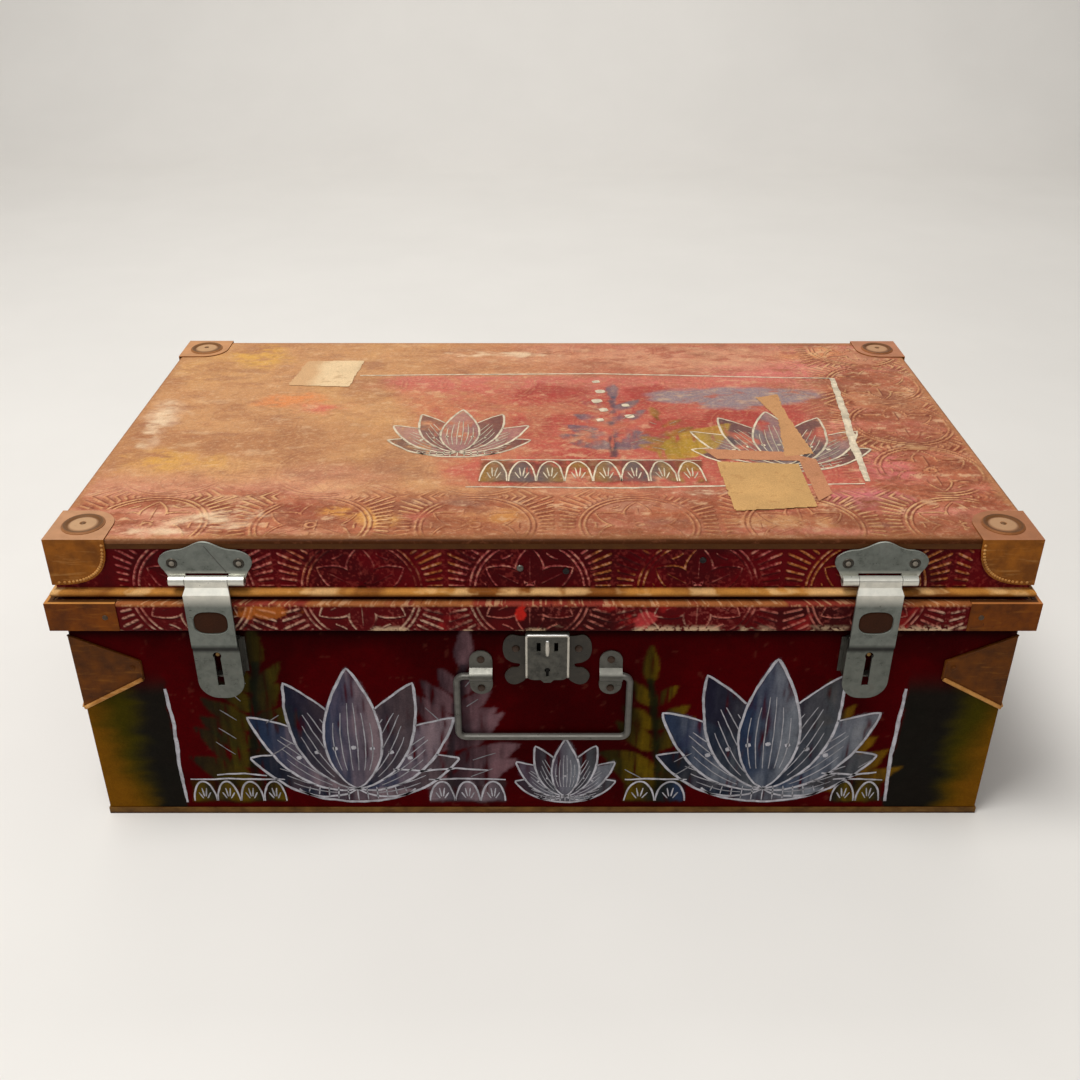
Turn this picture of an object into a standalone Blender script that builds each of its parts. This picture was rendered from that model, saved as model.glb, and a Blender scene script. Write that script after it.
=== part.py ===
"""Painted sheet-metal trunk with a stepped lid, two hasps, a lock, a bail handle, hinges and lid stays."""

import math

import bmesh
import bpy
from mathutils import Vector

# Sheet metal and clearances
SHEET = 0.0008
PLATE = 0.0015
GAP = 0.0003
MITRE_GAP = 0.0002
ARC_STEPS = 10
ROUND_STEPS = 24

# Lid: the top sheet is folded down over the lid walls, which end below in an outward curl
LID_WIDTH = 0.710
LID_DEPTH = 0.404
TRUNK_HEIGHT = 0.258
TOP_FOLD = 0.007
TOP_ROUND = 0.0028
LID_WALL = 0.0436
BEAD_RADIUS = 0.0027

# Skirt: flange inside the lid wall, ledge outwards over the base rim, then the hanging skirt
LEDGE_GAP = 0.0032
SKIRT_DROP = 0.023
SKIRT_STEP = 0.008
SKIRT_FLANGE = 0.0195
LEDGE_ROUND = 0.0015

# Base: walls with an outward rolled rim under the ledge, in a floor pan with an upturned hem
BASE_INSET = 0.0003
RIM_RADIUS = 0.003
HEM_HEIGHT = 0.006

# Corner fittings
CAP_REACH = 0.043
CAP_DROP = 0.037
CAP_FULLNESS = 0.72
CAP_DISC = 0.0155
CAP_DISC_RISE = 0.0014
WRAP_REACH = 0.051
WRAP_FLANGE = 0.005
WRAP_SHEET = 0.0006
GUARD_REACH = 0.050
GUARD_DROP = 0.009
GUARD_TALL = 0.0685
GUARD_TAPER_HIGH = 0.0235
GUARD_TAPER_LOW = 0.0278

# Hasps: plate on the lid wall, strap over bead and skirt, tongue in front of the keeper lock
HASP_INSET = 0.1125
HASP_LIFT = 0.006
HASP_APEX = 0.0005
HASP_KNUCKLE = 0.0038
HASP_PIN = 0.0016
HASP_PLATE_HALF = 0.0335
STRAP_SHEET = 0.002
STRAP_HALF = 0.0169
STRAP_NECK = 0.0153
STRAP_SHOULDER = 0.0085
STRAP_BELOW = 0.013
STRAP_CLEAR = 0.0028
OVAL_HALF_WIDTH = 0.0128
OVAL_HALF_HEIGHT = 0.0098
OVAL_RISE = 0.0095
OVAL_DEPTH = 0.0008
TONGUE_SHEET = 0.0012
TONGUE_HALF = 0.0172
TONGUE_LAP = 0.008
TONGUE_BELOW = 0.0175
TONGUE_ROUND = 0.015
KEY_DROP = 0.0115
KEY_SLOT_LENGTH = 0.0275
KEY_SLOT_HALF = 0.0026
KEY_EYE = 0.0032
KEEPER_HALF = 0.0165
KEEPER_FLANGE = 0.003
KEEPER_DROP = 0.0095
KEEPER_HEIGHT = 0.033
KEEPER_SHEET = 0.001
KEY_POST = 0.0015
CATCH_X = 0.009
CATCH_EYE = 0.0021
CATCH_HALF = 0.0045
CATCH_SHEET = 0.002
CATCH_CLEAR = 0.0008
BOLT_PIN = 0.0017
BOLT_TRAVEL = 0.005
BOLT_BLOCK = 0.012

# Centre lock
LOCK_X = 0.003
LOCK_HALF = 0.0162
LOCK_DROP = 0.0035
LOCK_HEIGHT = 0.041
LOCK_CORNER = 0.006
LOCK_DEPTH = 0.0075
LOCK_SHEET = 0.001
LOCK_TIP = 0.0025
LOCK_SLOT_X = 0.0065
LOCK_SLOT_HALF_WIDTH = 0.0015
LOCK_SLOT_HALF_HEIGHT = 0.004
LOCK_SLOT_DROP = 0.011
LOCK_KEY_DROP = 0.032
LOCK_KEY_EYE = 0.0022
LOCK_KEY_SLIT = 0.006
LOCK_BOLT_HALF = 0.011
LOCK_BOLT_SHEET = 0.002
EAR_HALF = 0.0335
EAR_DROP = 0.0176
EAR_RISE = 0.0125
LOBE_DROP = 0.043
LOBE_RISE = 0.0078

# Bail handle and its two clips
HANDLE_X = 0.002
BAIL_BELOW = 0.045
BAIL_WIRE = 0.00275
BAIL_HALF = 0.066
BAIL_SLID = 0.002
BAIL_DROP = 0.0585
BAIL_BEND = 0.0058
BAIL_SIDES = 12
CLIP_X = 0.0493
CLIP_HALF = 0.00875
CLIP_RISE = 0.0222
CLIP_DROP = 0.0187
CLIP_SHEET = 0.0012
CLIP_FOOT = 0.006

# Hinges at the back, nested below the skirt
HINGE_INSET = 0.135
HINGE_HALF = 0.025
HINGE_KNUCKLE = 0.0035
HINGE_PIN = 0.0016
HINGE_LEAF = 0.0012
HINGE_SPLIT = 0.009
HINGE_CLEAR = 0.0006
HINGE_DROP = 0.001
LEAF_DROP = 0.032

# Lid stays: slotted arm on a lid rivet, sliding on a base stud at the same radius from the hinge
STAY_RADIUS = 0.110
STAY_RIVET_DROP = 0.024
STAY_STUD_RISE = 0.004
STAY_OPEN = math.radians(100)
STAY_HALF = 0.007
STAY_SHEET = 0.002
STAY_CLEAR = 0.0015
STAY_SHANK = 0.0027
STAY_HEAD = 0.005
STAY_HEAD_THICK = 0.0015

# Positions that follow from the sizes above
TOP_X = LID_WIDTH / 2
TOP_Y = LID_DEPTH / 2
WALL_X = TOP_X - SHEET - GAP
WALL_Y = TOP_Y - SHEET - GAP
SKIRT_X = WALL_X + SKIRT_STEP
SKIRT_Y = WALL_Y + SKIRT_STEP
BEAD_HEIGHT = TRUNK_HEIGHT - LID_WALL
SKIRT_TOP = BEAD_HEIGHT - BEAD_RADIUS - LEDGE_GAP
SKIRT_BOTTOM = SKIRT_TOP - SKIRT_DROP
GUARD_HIGH = SKIRT_BOTTOM - GUARD_DROP
GUARD_LOW = GUARD_HIGH - GUARD_TALL
GUARD_TIP_HIGH = GUARD_HIGH - GUARD_TAPER_HIGH
GUARD_TIP_LOW = GUARD_LOW + GUARD_TAPER_LOW
BASE_X = WALL_X - BASE_INSET
BASE_Y = WALL_Y - BASE_INSET
RIM_TOP = SKIRT_TOP - SHEET - GAP
HINGE_X = TOP_X - HINGE_INSET
HINGE_Y = BASE_Y + GAP + HINGE_CLEAR + HINGE_KNUCKLE
HINGE_Z = SKIRT_BOTTOM - HINGE_DROP - HINGE_KNUCKLE
HASP_X = TOP_X - HASP_INSET
HASP_PIN_Y = -(TOP_Y + GAP + HASP_KNUCKLE)
HASP_PIN_Z = BEAD_HEIGHT + BEAD_RADIUS + HASP_LIFT + HASP_KNUCKLE
HASP_PLATE_RISE = TRUNK_HEIGHT - HASP_APEX - HASP_PIN_Z
KEEPER_TOP = SKIRT_BOTTOM - KEEPER_DROP
STRAP_DROP = HASP_PIN_Z - SKIRT_BOTTOM + STRAP_BELOW
TONGUE_DROP = HASP_PIN_Z - KEEPER_TOP + KEEPER_HEIGHT + TONGUE_BELOW
OVAL_DROP = HASP_PIN_Z - SKIRT_BOTTOM - OVAL_RISE
KEY_SLOT_TOP = HASP_PIN_Z - KEEPER_TOP + KEY_DROP
KEY_SLOT_END = KEY_SLOT_TOP + KEY_SLOT_LENGTH
STRAP_INNER = -(SKIRT_Y + STRAP_CLEAR)
TONGUE_BACK = STRAP_INNER + GAP + TONGUE_SHEET
KEEPER_FRONT = TONGUE_BACK + GAP
BASE_FRONT = -(BASE_Y + GAP)
BAIL_Z = SKIRT_BOTTOM - BAIL_BELOW
BAIL_Y = BASE_FRONT - BAIL_WIRE - GAP
CLIP_BEND = BAIL_WIRE + GAP + CLIP_SHEET / 2
CATCH_Y = (TONGUE_BACK + BASE_FRONT - GAP * 4) / 2
LOCK_TOP = SKIRT_BOTTOM - LOCK_DROP
LOCK_BOTTOM = LOCK_TOP - LOCK_HEIGHT
LOCK_PLATE_FRONT = BASE_FRONT - LOCK_SHEET
LOCK_BACK = LOCK_PLATE_FRONT - GAP
LOCK_FRONT = LOCK_BACK - LOCK_DEPTH
LOCK_KEY_Z = LOCK_TOP - LOCK_KEY_DROP
STAY_RIVET_RISE = TRUNK_HEIGHT - STAY_RIVET_DROP - HINGE_Z
STAY_X = WALL_X - 2 * SHEET - GAP - STAY_CLEAR - STAY_SHEET / 2

WHOLE = {}


def finish(name, colour, roughness, metallic):
    """A Principled material."""
    material = bpy.data.materials.new(name)
    material.use_nodes = True
    shader = material.node_tree.nodes["Principled BSDF"]
    shader.inputs["Base Color"].default_value = (*colour, 1)
    shader.inputs["Roughness"].default_value = roughness
    shader.inputs["Metallic"].default_value = metallic
    return material


def mesh_of(points, faces):
    """A closed mesh from points and faces, with its faces turned outwards."""
    mesh = bpy.data.meshes.new("piece")
    mesh.from_pydata([tuple(p) for p in points], [], faces)
    built = bmesh.new()
    built.from_mesh(mesh)
    bmesh.ops.recalc_face_normals(built, faces=built.faces)
    built.to_mesh(mesh)
    built.free()
    return mesh


def loft(rings):
    """A solid through rings of equally many points, closed by a face at each end."""
    n = len(rings[0])
    points = [p for ring in rings for p in ring]
    faces = [tuple(range(n)), tuple(range(len(points) - n, len(points)))]
    for r in range(len(rings) - 1):
        for i in range(n):
            j = (i + 1) % n
            faces.append((r * n + i, r * n + j, (r + 1) * n + j, (r + 1) * n + i))
    return mesh_of(points, faces)


def arc(centre, radius, start, end, steps=ARC_STEPS):
    """Points along an arc, with its angles in degrees."""
    points = []
    for i in range(steps + 1):
        angle = math.radians(start + (end - start) * i / steps)
        points.append((centre[0] + radius * math.cos(angle), centre[1] + radius * math.sin(angle)))
    return points


def smooth(points, steps=4):
    """An open line of points made into a Catmull-Rom curve."""
    ends = [points[0]] + list(points) + [points[-1]]
    line = []
    for a, b, c, d in zip(ends, ends[1:], ends[2:], ends[3:]):
        for i in range(steps):
            t = i / steps
            line.append(
                tuple(
                    0.5 * (2 * q + (r - p) * t + (2 * p - 5 * q + 4 * r - s) * t**2 + (3 * q - p - 3 * r + s) * t**3)
                    for p, q, r, s in zip(a, b, c, d)
                )
            )
    return line + [points[-1]]


def ribbon(line, thickness):
    """The outline of a strip of sheet that follows a line of (across, up) points."""
    line = [Vector(p) for p in line]
    left = []
    right = []
    for i, point in enumerate(line):
        before = (point - line[i - 1]).normalized() if i else None
        after = (line[i + 1] - point).normalized() if i + 1 < len(line) else None
        normals = [Vector((-d.y, d.x)) for d in (before, after) if d is not None]
        normal = sum(normals, Vector((0, 0))).normalized()
        reach = thickness / 2 / normal.dot(normals[0])
        left.append(point + normal * reach)
        right.append(point - normal * reach)
    return left + right[::-1]


def box(low, high):
    """A box between two corners."""
    (x0, y0, z0), (x1, y1, z1) = low, high
    ring = [(x0, y0), (x1, y0), (x1, y1), (x0, y1)]
    return loft([[(x, y, z) for x, y in ring] for z in (z0, z1)])


def plate(outline, back, front):
    """An upright plate: an (x, z) outline between two depths."""
    return loft([[(x, y, z) for x, z in outline] for y in (back, front)])


def bar(outline, halves):
    """A (y, z) outline run sideways, with each point's own half width."""
    return loft([[(side * h, y, z) for (y, z), h in zip(outline, halves)] for side in (-1, 1)])


def rod(radius, low, high, axis, at=(0, 0)):
    """A round rod along X, Y or Z; at holds its other two coordinates."""
    rings = []
    for along in (low, high):
        ring = arc(at, radius, 0, 360 - 360 / ROUND_STEPS, ROUND_STEPS - 1)
        rings.append([(p[:axis] + (along,) + p[axis:]) for p in ring])
    return loft(rings)


def turned(profile, axis, at=(0, 0)):
    """A round solid along X or Z from (radius, along) points; the first and last close it flat."""
    rings = []
    for radius, along in profile:
        ring = arc(at, radius, 0, 360 - 360 / ROUND_STEPS, ROUND_STEPS - 1)
        rings.append([(p[:axis] + (along,) + p[axis:]) for p in ring])
    return loft(rings)


def pan(half_x, half_y, closed, opened, fold=0):
    """A flat panel at one height with its edge folded to another, sharply or round a fold's radius."""
    way = math.copysign(1, opened - closed)
    outer = [(0, closed)]
    inner = [(SHEET, closed + way * SHEET)]
    if fold > SHEET:
        bend = arc((0, 0), 1, 90, 0, 4)
        outer = [(fold - fold * p, closed + way * (fold - fold * q)) for p, q in bend]
        tight = fold - SHEET
        inner = [(fold - tight * p, closed + way * (fold - tight * q)) for p, q in bend[::-1]]
    rings = []
    for trim, z in outer + [(0, opened), (SHEET, opened)] + inner:
        x = half_x - trim
        y = half_y - trim
        rings.append([(-x, -y, z), (x, -y, z), (x, y, z), (-x, y, z)])
    return loft(rings)


def folded(flaps, inside, thickness):
    """Flat flaps that share fold lines, thickened away from a point inside the corner."""
    points = []
    faces = []
    for flap in flaps:
        centre = sum((Vector(p) for p in flap), Vector()) / len(flap)
        normal = Vector()
        for p, q in zip(flap, flap[1:] + flap[:1]):
            normal += (Vector(p) - centre).cross(Vector(q) - centre)
        order = flap if normal.dot(centre - Vector(inside)) > 0 else flap[::-1]
        face = []
        for p in order:
            if p not in points:
                points.append(p)
            face.append(points.index(p))
        faces.append(face)
    mesh = bpy.data.meshes.new("piece")
    mesh.from_pydata(points, [], faces)
    return mesh, thickness


def place(obj, at, parent):
    """Puts an object at a point of the trunk's frame, below its parent."""
    bpy.context.scene.collection.objects.link(obj)
    WHOLE[obj.name] = Vector(at)
    obj.parent = parent
    obj.location = Vector(at) - (WHOLE[parent.name] if parent else Vector())
    return obj


def axis_point(name, at, parent=None):
    """An empty on a joint's axis."""
    return place(bpy.data.objects.new(name, None), at, parent)


def piece(name, shape, material, parent, at=(0, 0, 0)):
    """One sub-part, from a mesh or from a folded sheet with its thickness."""
    mesh, thickness = shape if isinstance(shape, tuple) else (shape, 0)
    obj = place(bpy.data.objects.new(name, mesh), at, parent)
    mesh.materials.append(material)
    mesh.shade_smooth()
    mesh.set_sharp_from_angle(angle=math.radians(35))
    if thickness:
        solid = obj.modifiers.new("thickness", "SOLIDIFY")
        solid.thickness = thickness
        solid.offset = 1
        solid.use_even_offset = True
        solid.use_quality_normals = True
    return obj


def combine(obj, operation, mesh):
    """Joins a helper mesh to a piece, cuts it away, or keeps only what lies in it."""
    helper = bpy.data.objects.new(f"{obj.name}_{operation.lower()}_{len(obj.modifiers)}", mesh)
    place(helper, WHOLE[obj.name], obj.parent)
    helper.hide_render = True
    helper.display_type = "WIRE"
    modifier = obj.modifiers.new(operation.lower(), "BOOLEAN")
    modifier.operation = operation
    modifier.solver = "EXACT"
    modifier.object = helper


def ring_of_strips(names, profile, half_x, half_y, material, parent, at=(0, 0, 0)):
    """Four strips of one (outwards, up) profile around the trunk, mitred at the corners."""
    for name, axis, side in zip(names, (0, 0, 1, 1), (-1, 1, -1, 1)):
        half_run, half_out = (half_x, half_y) if axis == 0 else (half_y, half_x)
        rings = []
        for end in (-1, 1):
            ring = []
            for out, up in profile:
                run = end * (half_run + out - MITRE_GAP)
                away = side * (half_out + out)
                ring.append((run, away, up) if axis == 0 else (away, run, up))
            rings.append(ring)
        piece(name, loft(rings), material, parent, at)


def named(stem, end=""):
    """The names of the four sides, in the order that ring_of_strips builds them."""
    return [f"{stem}_{side}{end}" for side in ("front", "back", "left", "right")]


def obround(half, low, high):
    """An (x, z) outline with round ends."""
    top = arc((0, high - half), half, 0, 180)
    return top + arc((0, low + half), half, 180, 360)


def mirrored(half_line):
    """A closed outline from its right half, given from the top to the bottom."""
    left = [(-x, z) for x, z in half_line[::-1] if x > GAP]
    return list(half_line) + left


for old in list(bpy.data.objects):
    bpy.data.objects.remove(old)

EMBOSSED = finish("embossed_red_paint", (0.30, 0.030, 0.035), 0.55, 0.0)
PAINTED = finish("plain_red_paint", (0.12, 0.012, 0.018), 0.55, 0.0)
OCHRE = finish("ochre_paint", (0.36, 0.17, 0.055), 0.5, 0.0)
ZINC = finish("zinc_plate", (0.42, 0.42, 0.42), 0.42, 0.9)
WIRE = finish("steel_wire", (0.30, 0.28, 0.26), 0.45, 0.9)
BRASS = finish("brass", (0.62, 0.45, 0.16), 0.35, 0.95)

BASE = axis_point("base_frame", (0, 0, 0))
LID = axis_point("lid_axis", (0, HINGE_Y, HINGE_Z), BASE)

# Base box
curl = RIM_RADIUS - SHEET / 2
wall_line = [(-SHEET / 2, SHEET + GAP)]
wall_line += arc((RIM_RADIUS - SHEET, RIM_TOP - RIM_RADIUS), curl, 180, -90)
ring_of_strips(named("base", "_wall"), ribbon(wall_line, SHEET), BASE_X, BASE_Y, PAINTED, BASE)
hem_x = BASE_X + GAP + SHEET
hem_y = BASE_Y + GAP + SHEET
piece("base_floor", pan(hem_x, hem_y, 0, HEM_HEIGHT), OCHRE, BASE)

# Lid box
curl = BEAD_RADIUS - SHEET / 2
lid_line = [(-SHEET / 2, TRUNK_HEIGHT - max(SHEET, TOP_ROUND) - GAP)]
lid_line += arc((BEAD_RADIUS - SHEET, BEAD_HEIGHT), curl, 180, 450)
ring_of_strips(named("lid", "_wall"), ribbon(lid_line, SHEET), WALL_X, WALL_Y, EMBOSSED, LID)
piece("lid_top", pan(TOP_X, TOP_Y, TRUNK_HEIGHT, TRUNK_HEIGHT - TOP_FOLD, TOP_ROUND), EMBOSSED, LID)

# Skirt
flange = -1.5 * SHEET - GAP
outer = SKIRT_STEP - SHEET / 2
ledge = SKIRT_TOP - SHEET / 2
skirt_line = [(flange, SKIRT_TOP + SKIRT_FLANGE), (flange, ledge)]
skirt_line += arc((outer - LEDGE_ROUND, ledge - LEDGE_ROUND), LEDGE_ROUND, 90, 0, 4)
skirt_line += [(outer, SKIRT_BOTTOM)]
ring_of_strips(named("lid", "_skirt"), ribbon(skirt_line, SHEET), WALL_X, WALL_Y, EMBOSSED, LID)

# Corner fittings
for depth, sy in (("front", -1), ("back", 1)):
    for side, sx in (("left", -1), ("right", 1)):
        corner = f"{depth}_{side}"

        # Lid cap: rounded top flap with a stamped disc, and a full-cornered flap on each wall
        x = TOP_X + GAP
        y = TOP_Y + GAP
        z = TRUNK_HEIGHT + GAP
        middle = CAP_REACH / 2
        top_flap = [(0, 0), (CAP_REACH, 0)] + arc((middle, middle), middle, 0, 90) + [(0, CAP_REACH)]
        quarter = [(CAP_REACH * abs(p) ** CAP_FULLNESS, CAP_DROP * abs(q) ** CAP_FULLNESS) for p, q in arc((0, 0), 1, 0, 90)]
        quarter = [(0, 0), (CAP_REACH, 0)] + quarter[1:-1] + [(0, CAP_DROP)]
        flaps = [
            [(sx * (x - a), sy * (y - b), z) for a, b in top_flap],
            [(sx * (x - a), sy * y, z - b) for a, b in quarter],
            [(sx * x, sy * (y - a), z - b) for a, b in quarter],
        ]
        cap = piece(f"lid_cap_{corner}", folded(flaps, (0, 0, 0), SHEET), OCHRE, LID)
        face = z + SHEET
        disc = [
            (CAP_DISC, face - SHEET / 2),
            (CAP_DISC, face + CAP_DISC_RISE * 0.3),
            (CAP_DISC * 0.92, face + CAP_DISC_RISE),
            (CAP_DISC * 0.80, face + CAP_DISC_RISE * 0.9),
            (CAP_DISC * 0.70, face + CAP_DISC_RISE * 0.2),
            (CAP_DISC * 0.60, face + CAP_DISC_RISE * 0.6),
            (CAP_DISC * 0.16, face + CAP_DISC_RISE),
            (CAP_DISC * 0.10, face + CAP_DISC_RISE * 0.4),
        ]
        combine(cap, "UNION", turned(disc, 2, (sx * (x - middle), sy * (y - middle))))

        # Skirt wrap: an angle strip around the corner, lipped over the ledge
        x = SKIRT_X + GAP
        y = SKIRT_Y + GAP
        z = SKIRT_TOP + GAP
        run = [(0, 0), (WRAP_REACH, 0), (WRAP_REACH, SKIRT_DROP), (0, SKIRT_DROP)]
        lip = [(0, 0), (WRAP_REACH, 0), (WRAP_REACH, WRAP_FLANGE), (WRAP_FLANGE, WRAP_FLANGE)]
        flaps = [
            [(sx * (x - a), sy * y, z - b) for a, b in run],
            [(sx * x, sy * (y - a), z - b) for a, b in run],
            [(sx * (x - a), sy * (y - b), z) for a, b in lip],
            [(sx * (x - b), sy * (y - a), z) for a, b in lip],
        ]
        piece(f"skirt_wrap_{corner}", folded(flaps, (0, 0, 0), WRAP_SHEET), OCHRE, LID)

        # Base guard: a bent plate that tapers to a blunt tip on each wall
        x = BASE_X + GAP
        y = BASE_Y + GAP
        taper = [(0, GUARD_LOW), (GUARD_REACH, GUARD_TIP_LOW), (GUARD_REACH, GUARD_TIP_HIGH), (0, GUARD_HIGH)]
        flaps = [
            [(sx * (x - a), sy * y, b) for a, b in taper],
            [(sx * x, sy * (y - a), b) for a, b in taper],
        ]
        guard_middle = (0, 0, (GUARD_LOW + GUARD_HIGH) / 2)
        piece(f"base_guard_{corner}", folded(flaps, guard_middle, SHEET), OCHRE, BASE)

# Hasps
plate_back = HASP_KNUCKLE - GAP / 3
plate_front = plate_back - PLATE
notch = HASP_KNUCKLE + 4 * GAP
cloud = smooth(
    [
        (0, HASP_PLATE_RISE),
        (HASP_PLATE_HALF * 0.10, HASP_PLATE_RISE * 0.985),
        (HASP_PLATE_HALF * 0.22, HASP_PLATE_RISE * 0.93),
        (HASP_PLATE_HALF * 0.36, HASP_PLATE_RISE * 0.85),
        (HASP_PLATE_HALF * 0.52, HASP_PLATE_RISE * 0.79),
        (HASP_PLATE_HALF * 0.68, HASP_PLATE_RISE * 0.77),
        (HASP_PLATE_HALF * 0.84, HASP_PLATE_RISE * 0.71),
        (HASP_PLATE_HALF * 0.96, HASP_PLATE_RISE * 0.60),
        (HASP_PLATE_HALF, HASP_PLATE_RISE * 0.47),
        (HASP_PLATE_HALF * 0.965, HASP_PLATE_RISE * 0.33),
        (HASP_PLATE_HALF * 0.88, HASP_PLATE_RISE * 0.18),
        (HASP_PLATE_HALF * 0.81, 0),
    ]
)
inner_knuckle = STRAP_NECK + GAP
outer_knuckle = HASP_PLATE_HALF * 0.81
cloud += [(inner_knuckle, 0), (inner_knuckle, notch)]
bore = HASP_PIN + GAP
strap_mid = STRAP_INNER - STRAP_SHEET / 2 - HASP_PIN_Y
tongue_mid = TONGUE_BACK - TONGUE_SHEET / 2 - HASP_PIN_Y
neck_mid = -(HASP_KNUCKLE - STRAP_SHEET / 2)
neck_end = -(HASP_KNUCKLE + GAP)
strap_line = [(neck_mid, 0), (neck_mid, neck_end), (strap_mid, -STRAP_SHOULDER), (strap_mid, -STRAP_DROP)]
strap_halves = [STRAP_NECK, STRAP_NECK, STRAP_HALF, STRAP_HALF]
tongue_side = [(TONGUE_HALF, -(STRAP_DROP - TONGUE_LAP))]
tongue_side += arc((TONGUE_HALF - TONGUE_ROUND, TONGUE_ROUND - TONGUE_DROP), TONGUE_ROUND, 0, -90)
key_slot = arc((0, -KEY_SLOT_TOP), KEY_EYE, -45, 225)
key_slot += [(-KEY_SLOT_HALF, -KEY_SLOT_END), (KEY_SLOT_HALF, -KEY_SLOT_END)]
oval = [
    (OVAL_HALF_WIDTH * math.copysign(abs(p) ** 0.7, p), OVAL_HALF_HEIGHT * math.copysign(abs(q) ** 0.7, q) - OVAL_DROP)
    for p, q in arc((0, 0), 1, 0, 345, 23)
]
catch_z = KEEPER_TOP + CATCH_CLEAR - HASP_PIN_Z
catch_y = CATCH_Y - HASP_PIN_Y
catch_back = catch_y + CATCH_EYE + GAP * 3
strap_face = strap_mid - STRAP_SHEET / 2
for side, sx in (("left", -1), ("right", 1)):
    at = (sx * HASP_X, HASP_PIN_Y, HASP_PIN_Z)
    swing = axis_point(f"hasp_axis_{side}", at, LID)

    hasp_plate = piece(f"hasp_plate_{side}", plate(mirrored(cloud), plate_back, plate_front), ZINC, LID, at)
    for end in (-1, 1):
        reach = sorted((end * (inner_knuckle + GAP / 3), end * outer_knuckle))
        combine(hasp_plate, "UNION", rod(HASP_KNUCKLE, *reach, 0))
    combine(hasp_plate, "DIFFERENCE", rod(bore, -HASP_PLATE_HALF, HASP_PLATE_HALF, 0))
    piece(f"hasp_pin_{side}", rod(HASP_PIN, -outer_knuckle - GAP, outer_knuckle + GAP, 0), ZINC, LID, at)

    strap = piece(
        f"hasp_strap_{side}", bar(ribbon(strap_line, STRAP_SHEET), strap_halves + strap_halves[::-1]), ZINC, swing, at
    )
    combine(strap, "UNION", rod(HASP_KNUCKLE, -STRAP_NECK, STRAP_NECK, 0))
    combine(strap, "DIFFERENCE", rod(bore, -STRAP_HALF, STRAP_HALF, 0))
    combine(strap, "DIFFERENCE", plate(oval, strap_face + OVAL_DEPTH, strap_face - PLATE))

    half_sheet = TONGUE_SHEET / 2
    tongue = piece(
        f"hasp_tongue_{side}",
        plate(mirrored(tongue_side), tongue_mid - half_sheet, tongue_mid + half_sheet),
        ZINC,
        swing,
        at,
    )
    combine(tongue, "DIFFERENCE", plate(key_slot, tongue_mid - PLATE, tongue_mid + PLATE))
    low = (CATCH_X - CATCH_HALF, tongue_mid, catch_z)
    high = (CATCH_X + CATCH_HALF, catch_back, catch_z + CATCH_SHEET)
    combine(tongue, "UNION", box(low, high))
    eye = rod(CATCH_EYE, catch_z - CATCH_SHEET, catch_z + 2 * CATCH_SHEET, 2, (CATCH_X, catch_y))
    combine(tongue, "DIFFERENCE", eye)

    # Keeper lock on the base: open-backed box with side flanges, sliding bolt and key post
    at = (sx * HASP_X, 0, 0)
    bottom = KEEPER_TOP - KEEPER_HEIGHT
    keeper = piece(
        f"hasp_keeper_{side}",
        box((-KEEPER_HALF, KEEPER_FRONT, bottom), (KEEPER_HALF, BASE_FRONT, KEEPER_TOP)),
        ZINC,
        BASE,
        at,
    )
    wide = KEEPER_HALF + KEEPER_FLANGE
    flange_front = BASE_FRONT - KEEPER_SHEET
    trim = KEEPER_SHEET
    combine(keeper, "UNION", box((-wide, flange_front, bottom + trim), (wide, BASE_FRONT, KEEPER_TOP - trim)))
    inside = KEEPER_HALF - KEEPER_SHEET
    low = (-inside, KEEPER_FRONT + KEEPER_SHEET, bottom + KEEPER_SHEET)
    combine(keeper, "DIFFERENCE", box(low, (inside, BASE_FRONT + KEEPER_SHEET, KEEPER_TOP - KEEPER_SHEET)))
    key_hole = [(x, z + HASP_PIN_Z) for x, z in key_slot]
    combine(keeper, "DIFFERENCE", plate(key_hole, KEEPER_FRONT - PLATE, KEEPER_FRONT + 2 * KEEPER_SHEET))
    bolt_hole = rod(BOLT_PIN + GAP, KEEPER_TOP - 2 * KEEPER_SHEET, KEEPER_TOP + PLATE, 2, (CATCH_X, CATCH_Y))
    combine(keeper, "DIFFERENCE", bolt_hole)
    post_at = (0, HASP_PIN_Z - KEY_SLOT_TOP)
    post = rod(KEY_POST, KEEPER_FRONT + GAP, BASE_FRONT, 1, post_at)
    piece(f"hasp_key_post_{side}", post, BRASS, BASE, at)

    slide = axis_point(f"hasp_bolt_axis_{side}", (sx * HASP_X + CATCH_X, CATCH_Y, KEEPER_TOP), BASE)
    block_top = KEEPER_TOP - KEEPER_SHEET - BOLT_TRAVEL - GAP
    low = (CATCH_X - CATCH_HALF, KEEPER_FRONT + KEEPER_SHEET + GAP, block_top - BOLT_BLOCK)
    high = (CATCH_X + CATCH_HALF, CATCH_Y + BOLT_PIN, block_top)
    bolt = piece(f"hasp_bolt_{side}", box(low, high), ZINC, slide, at)
    combine(bolt, "UNION", rod(BOLT_PIN, block_top - BOLT_TRAVEL, KEEPER_TOP - GAP, 2, (CATCH_X, CATCH_Y)))

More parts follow.
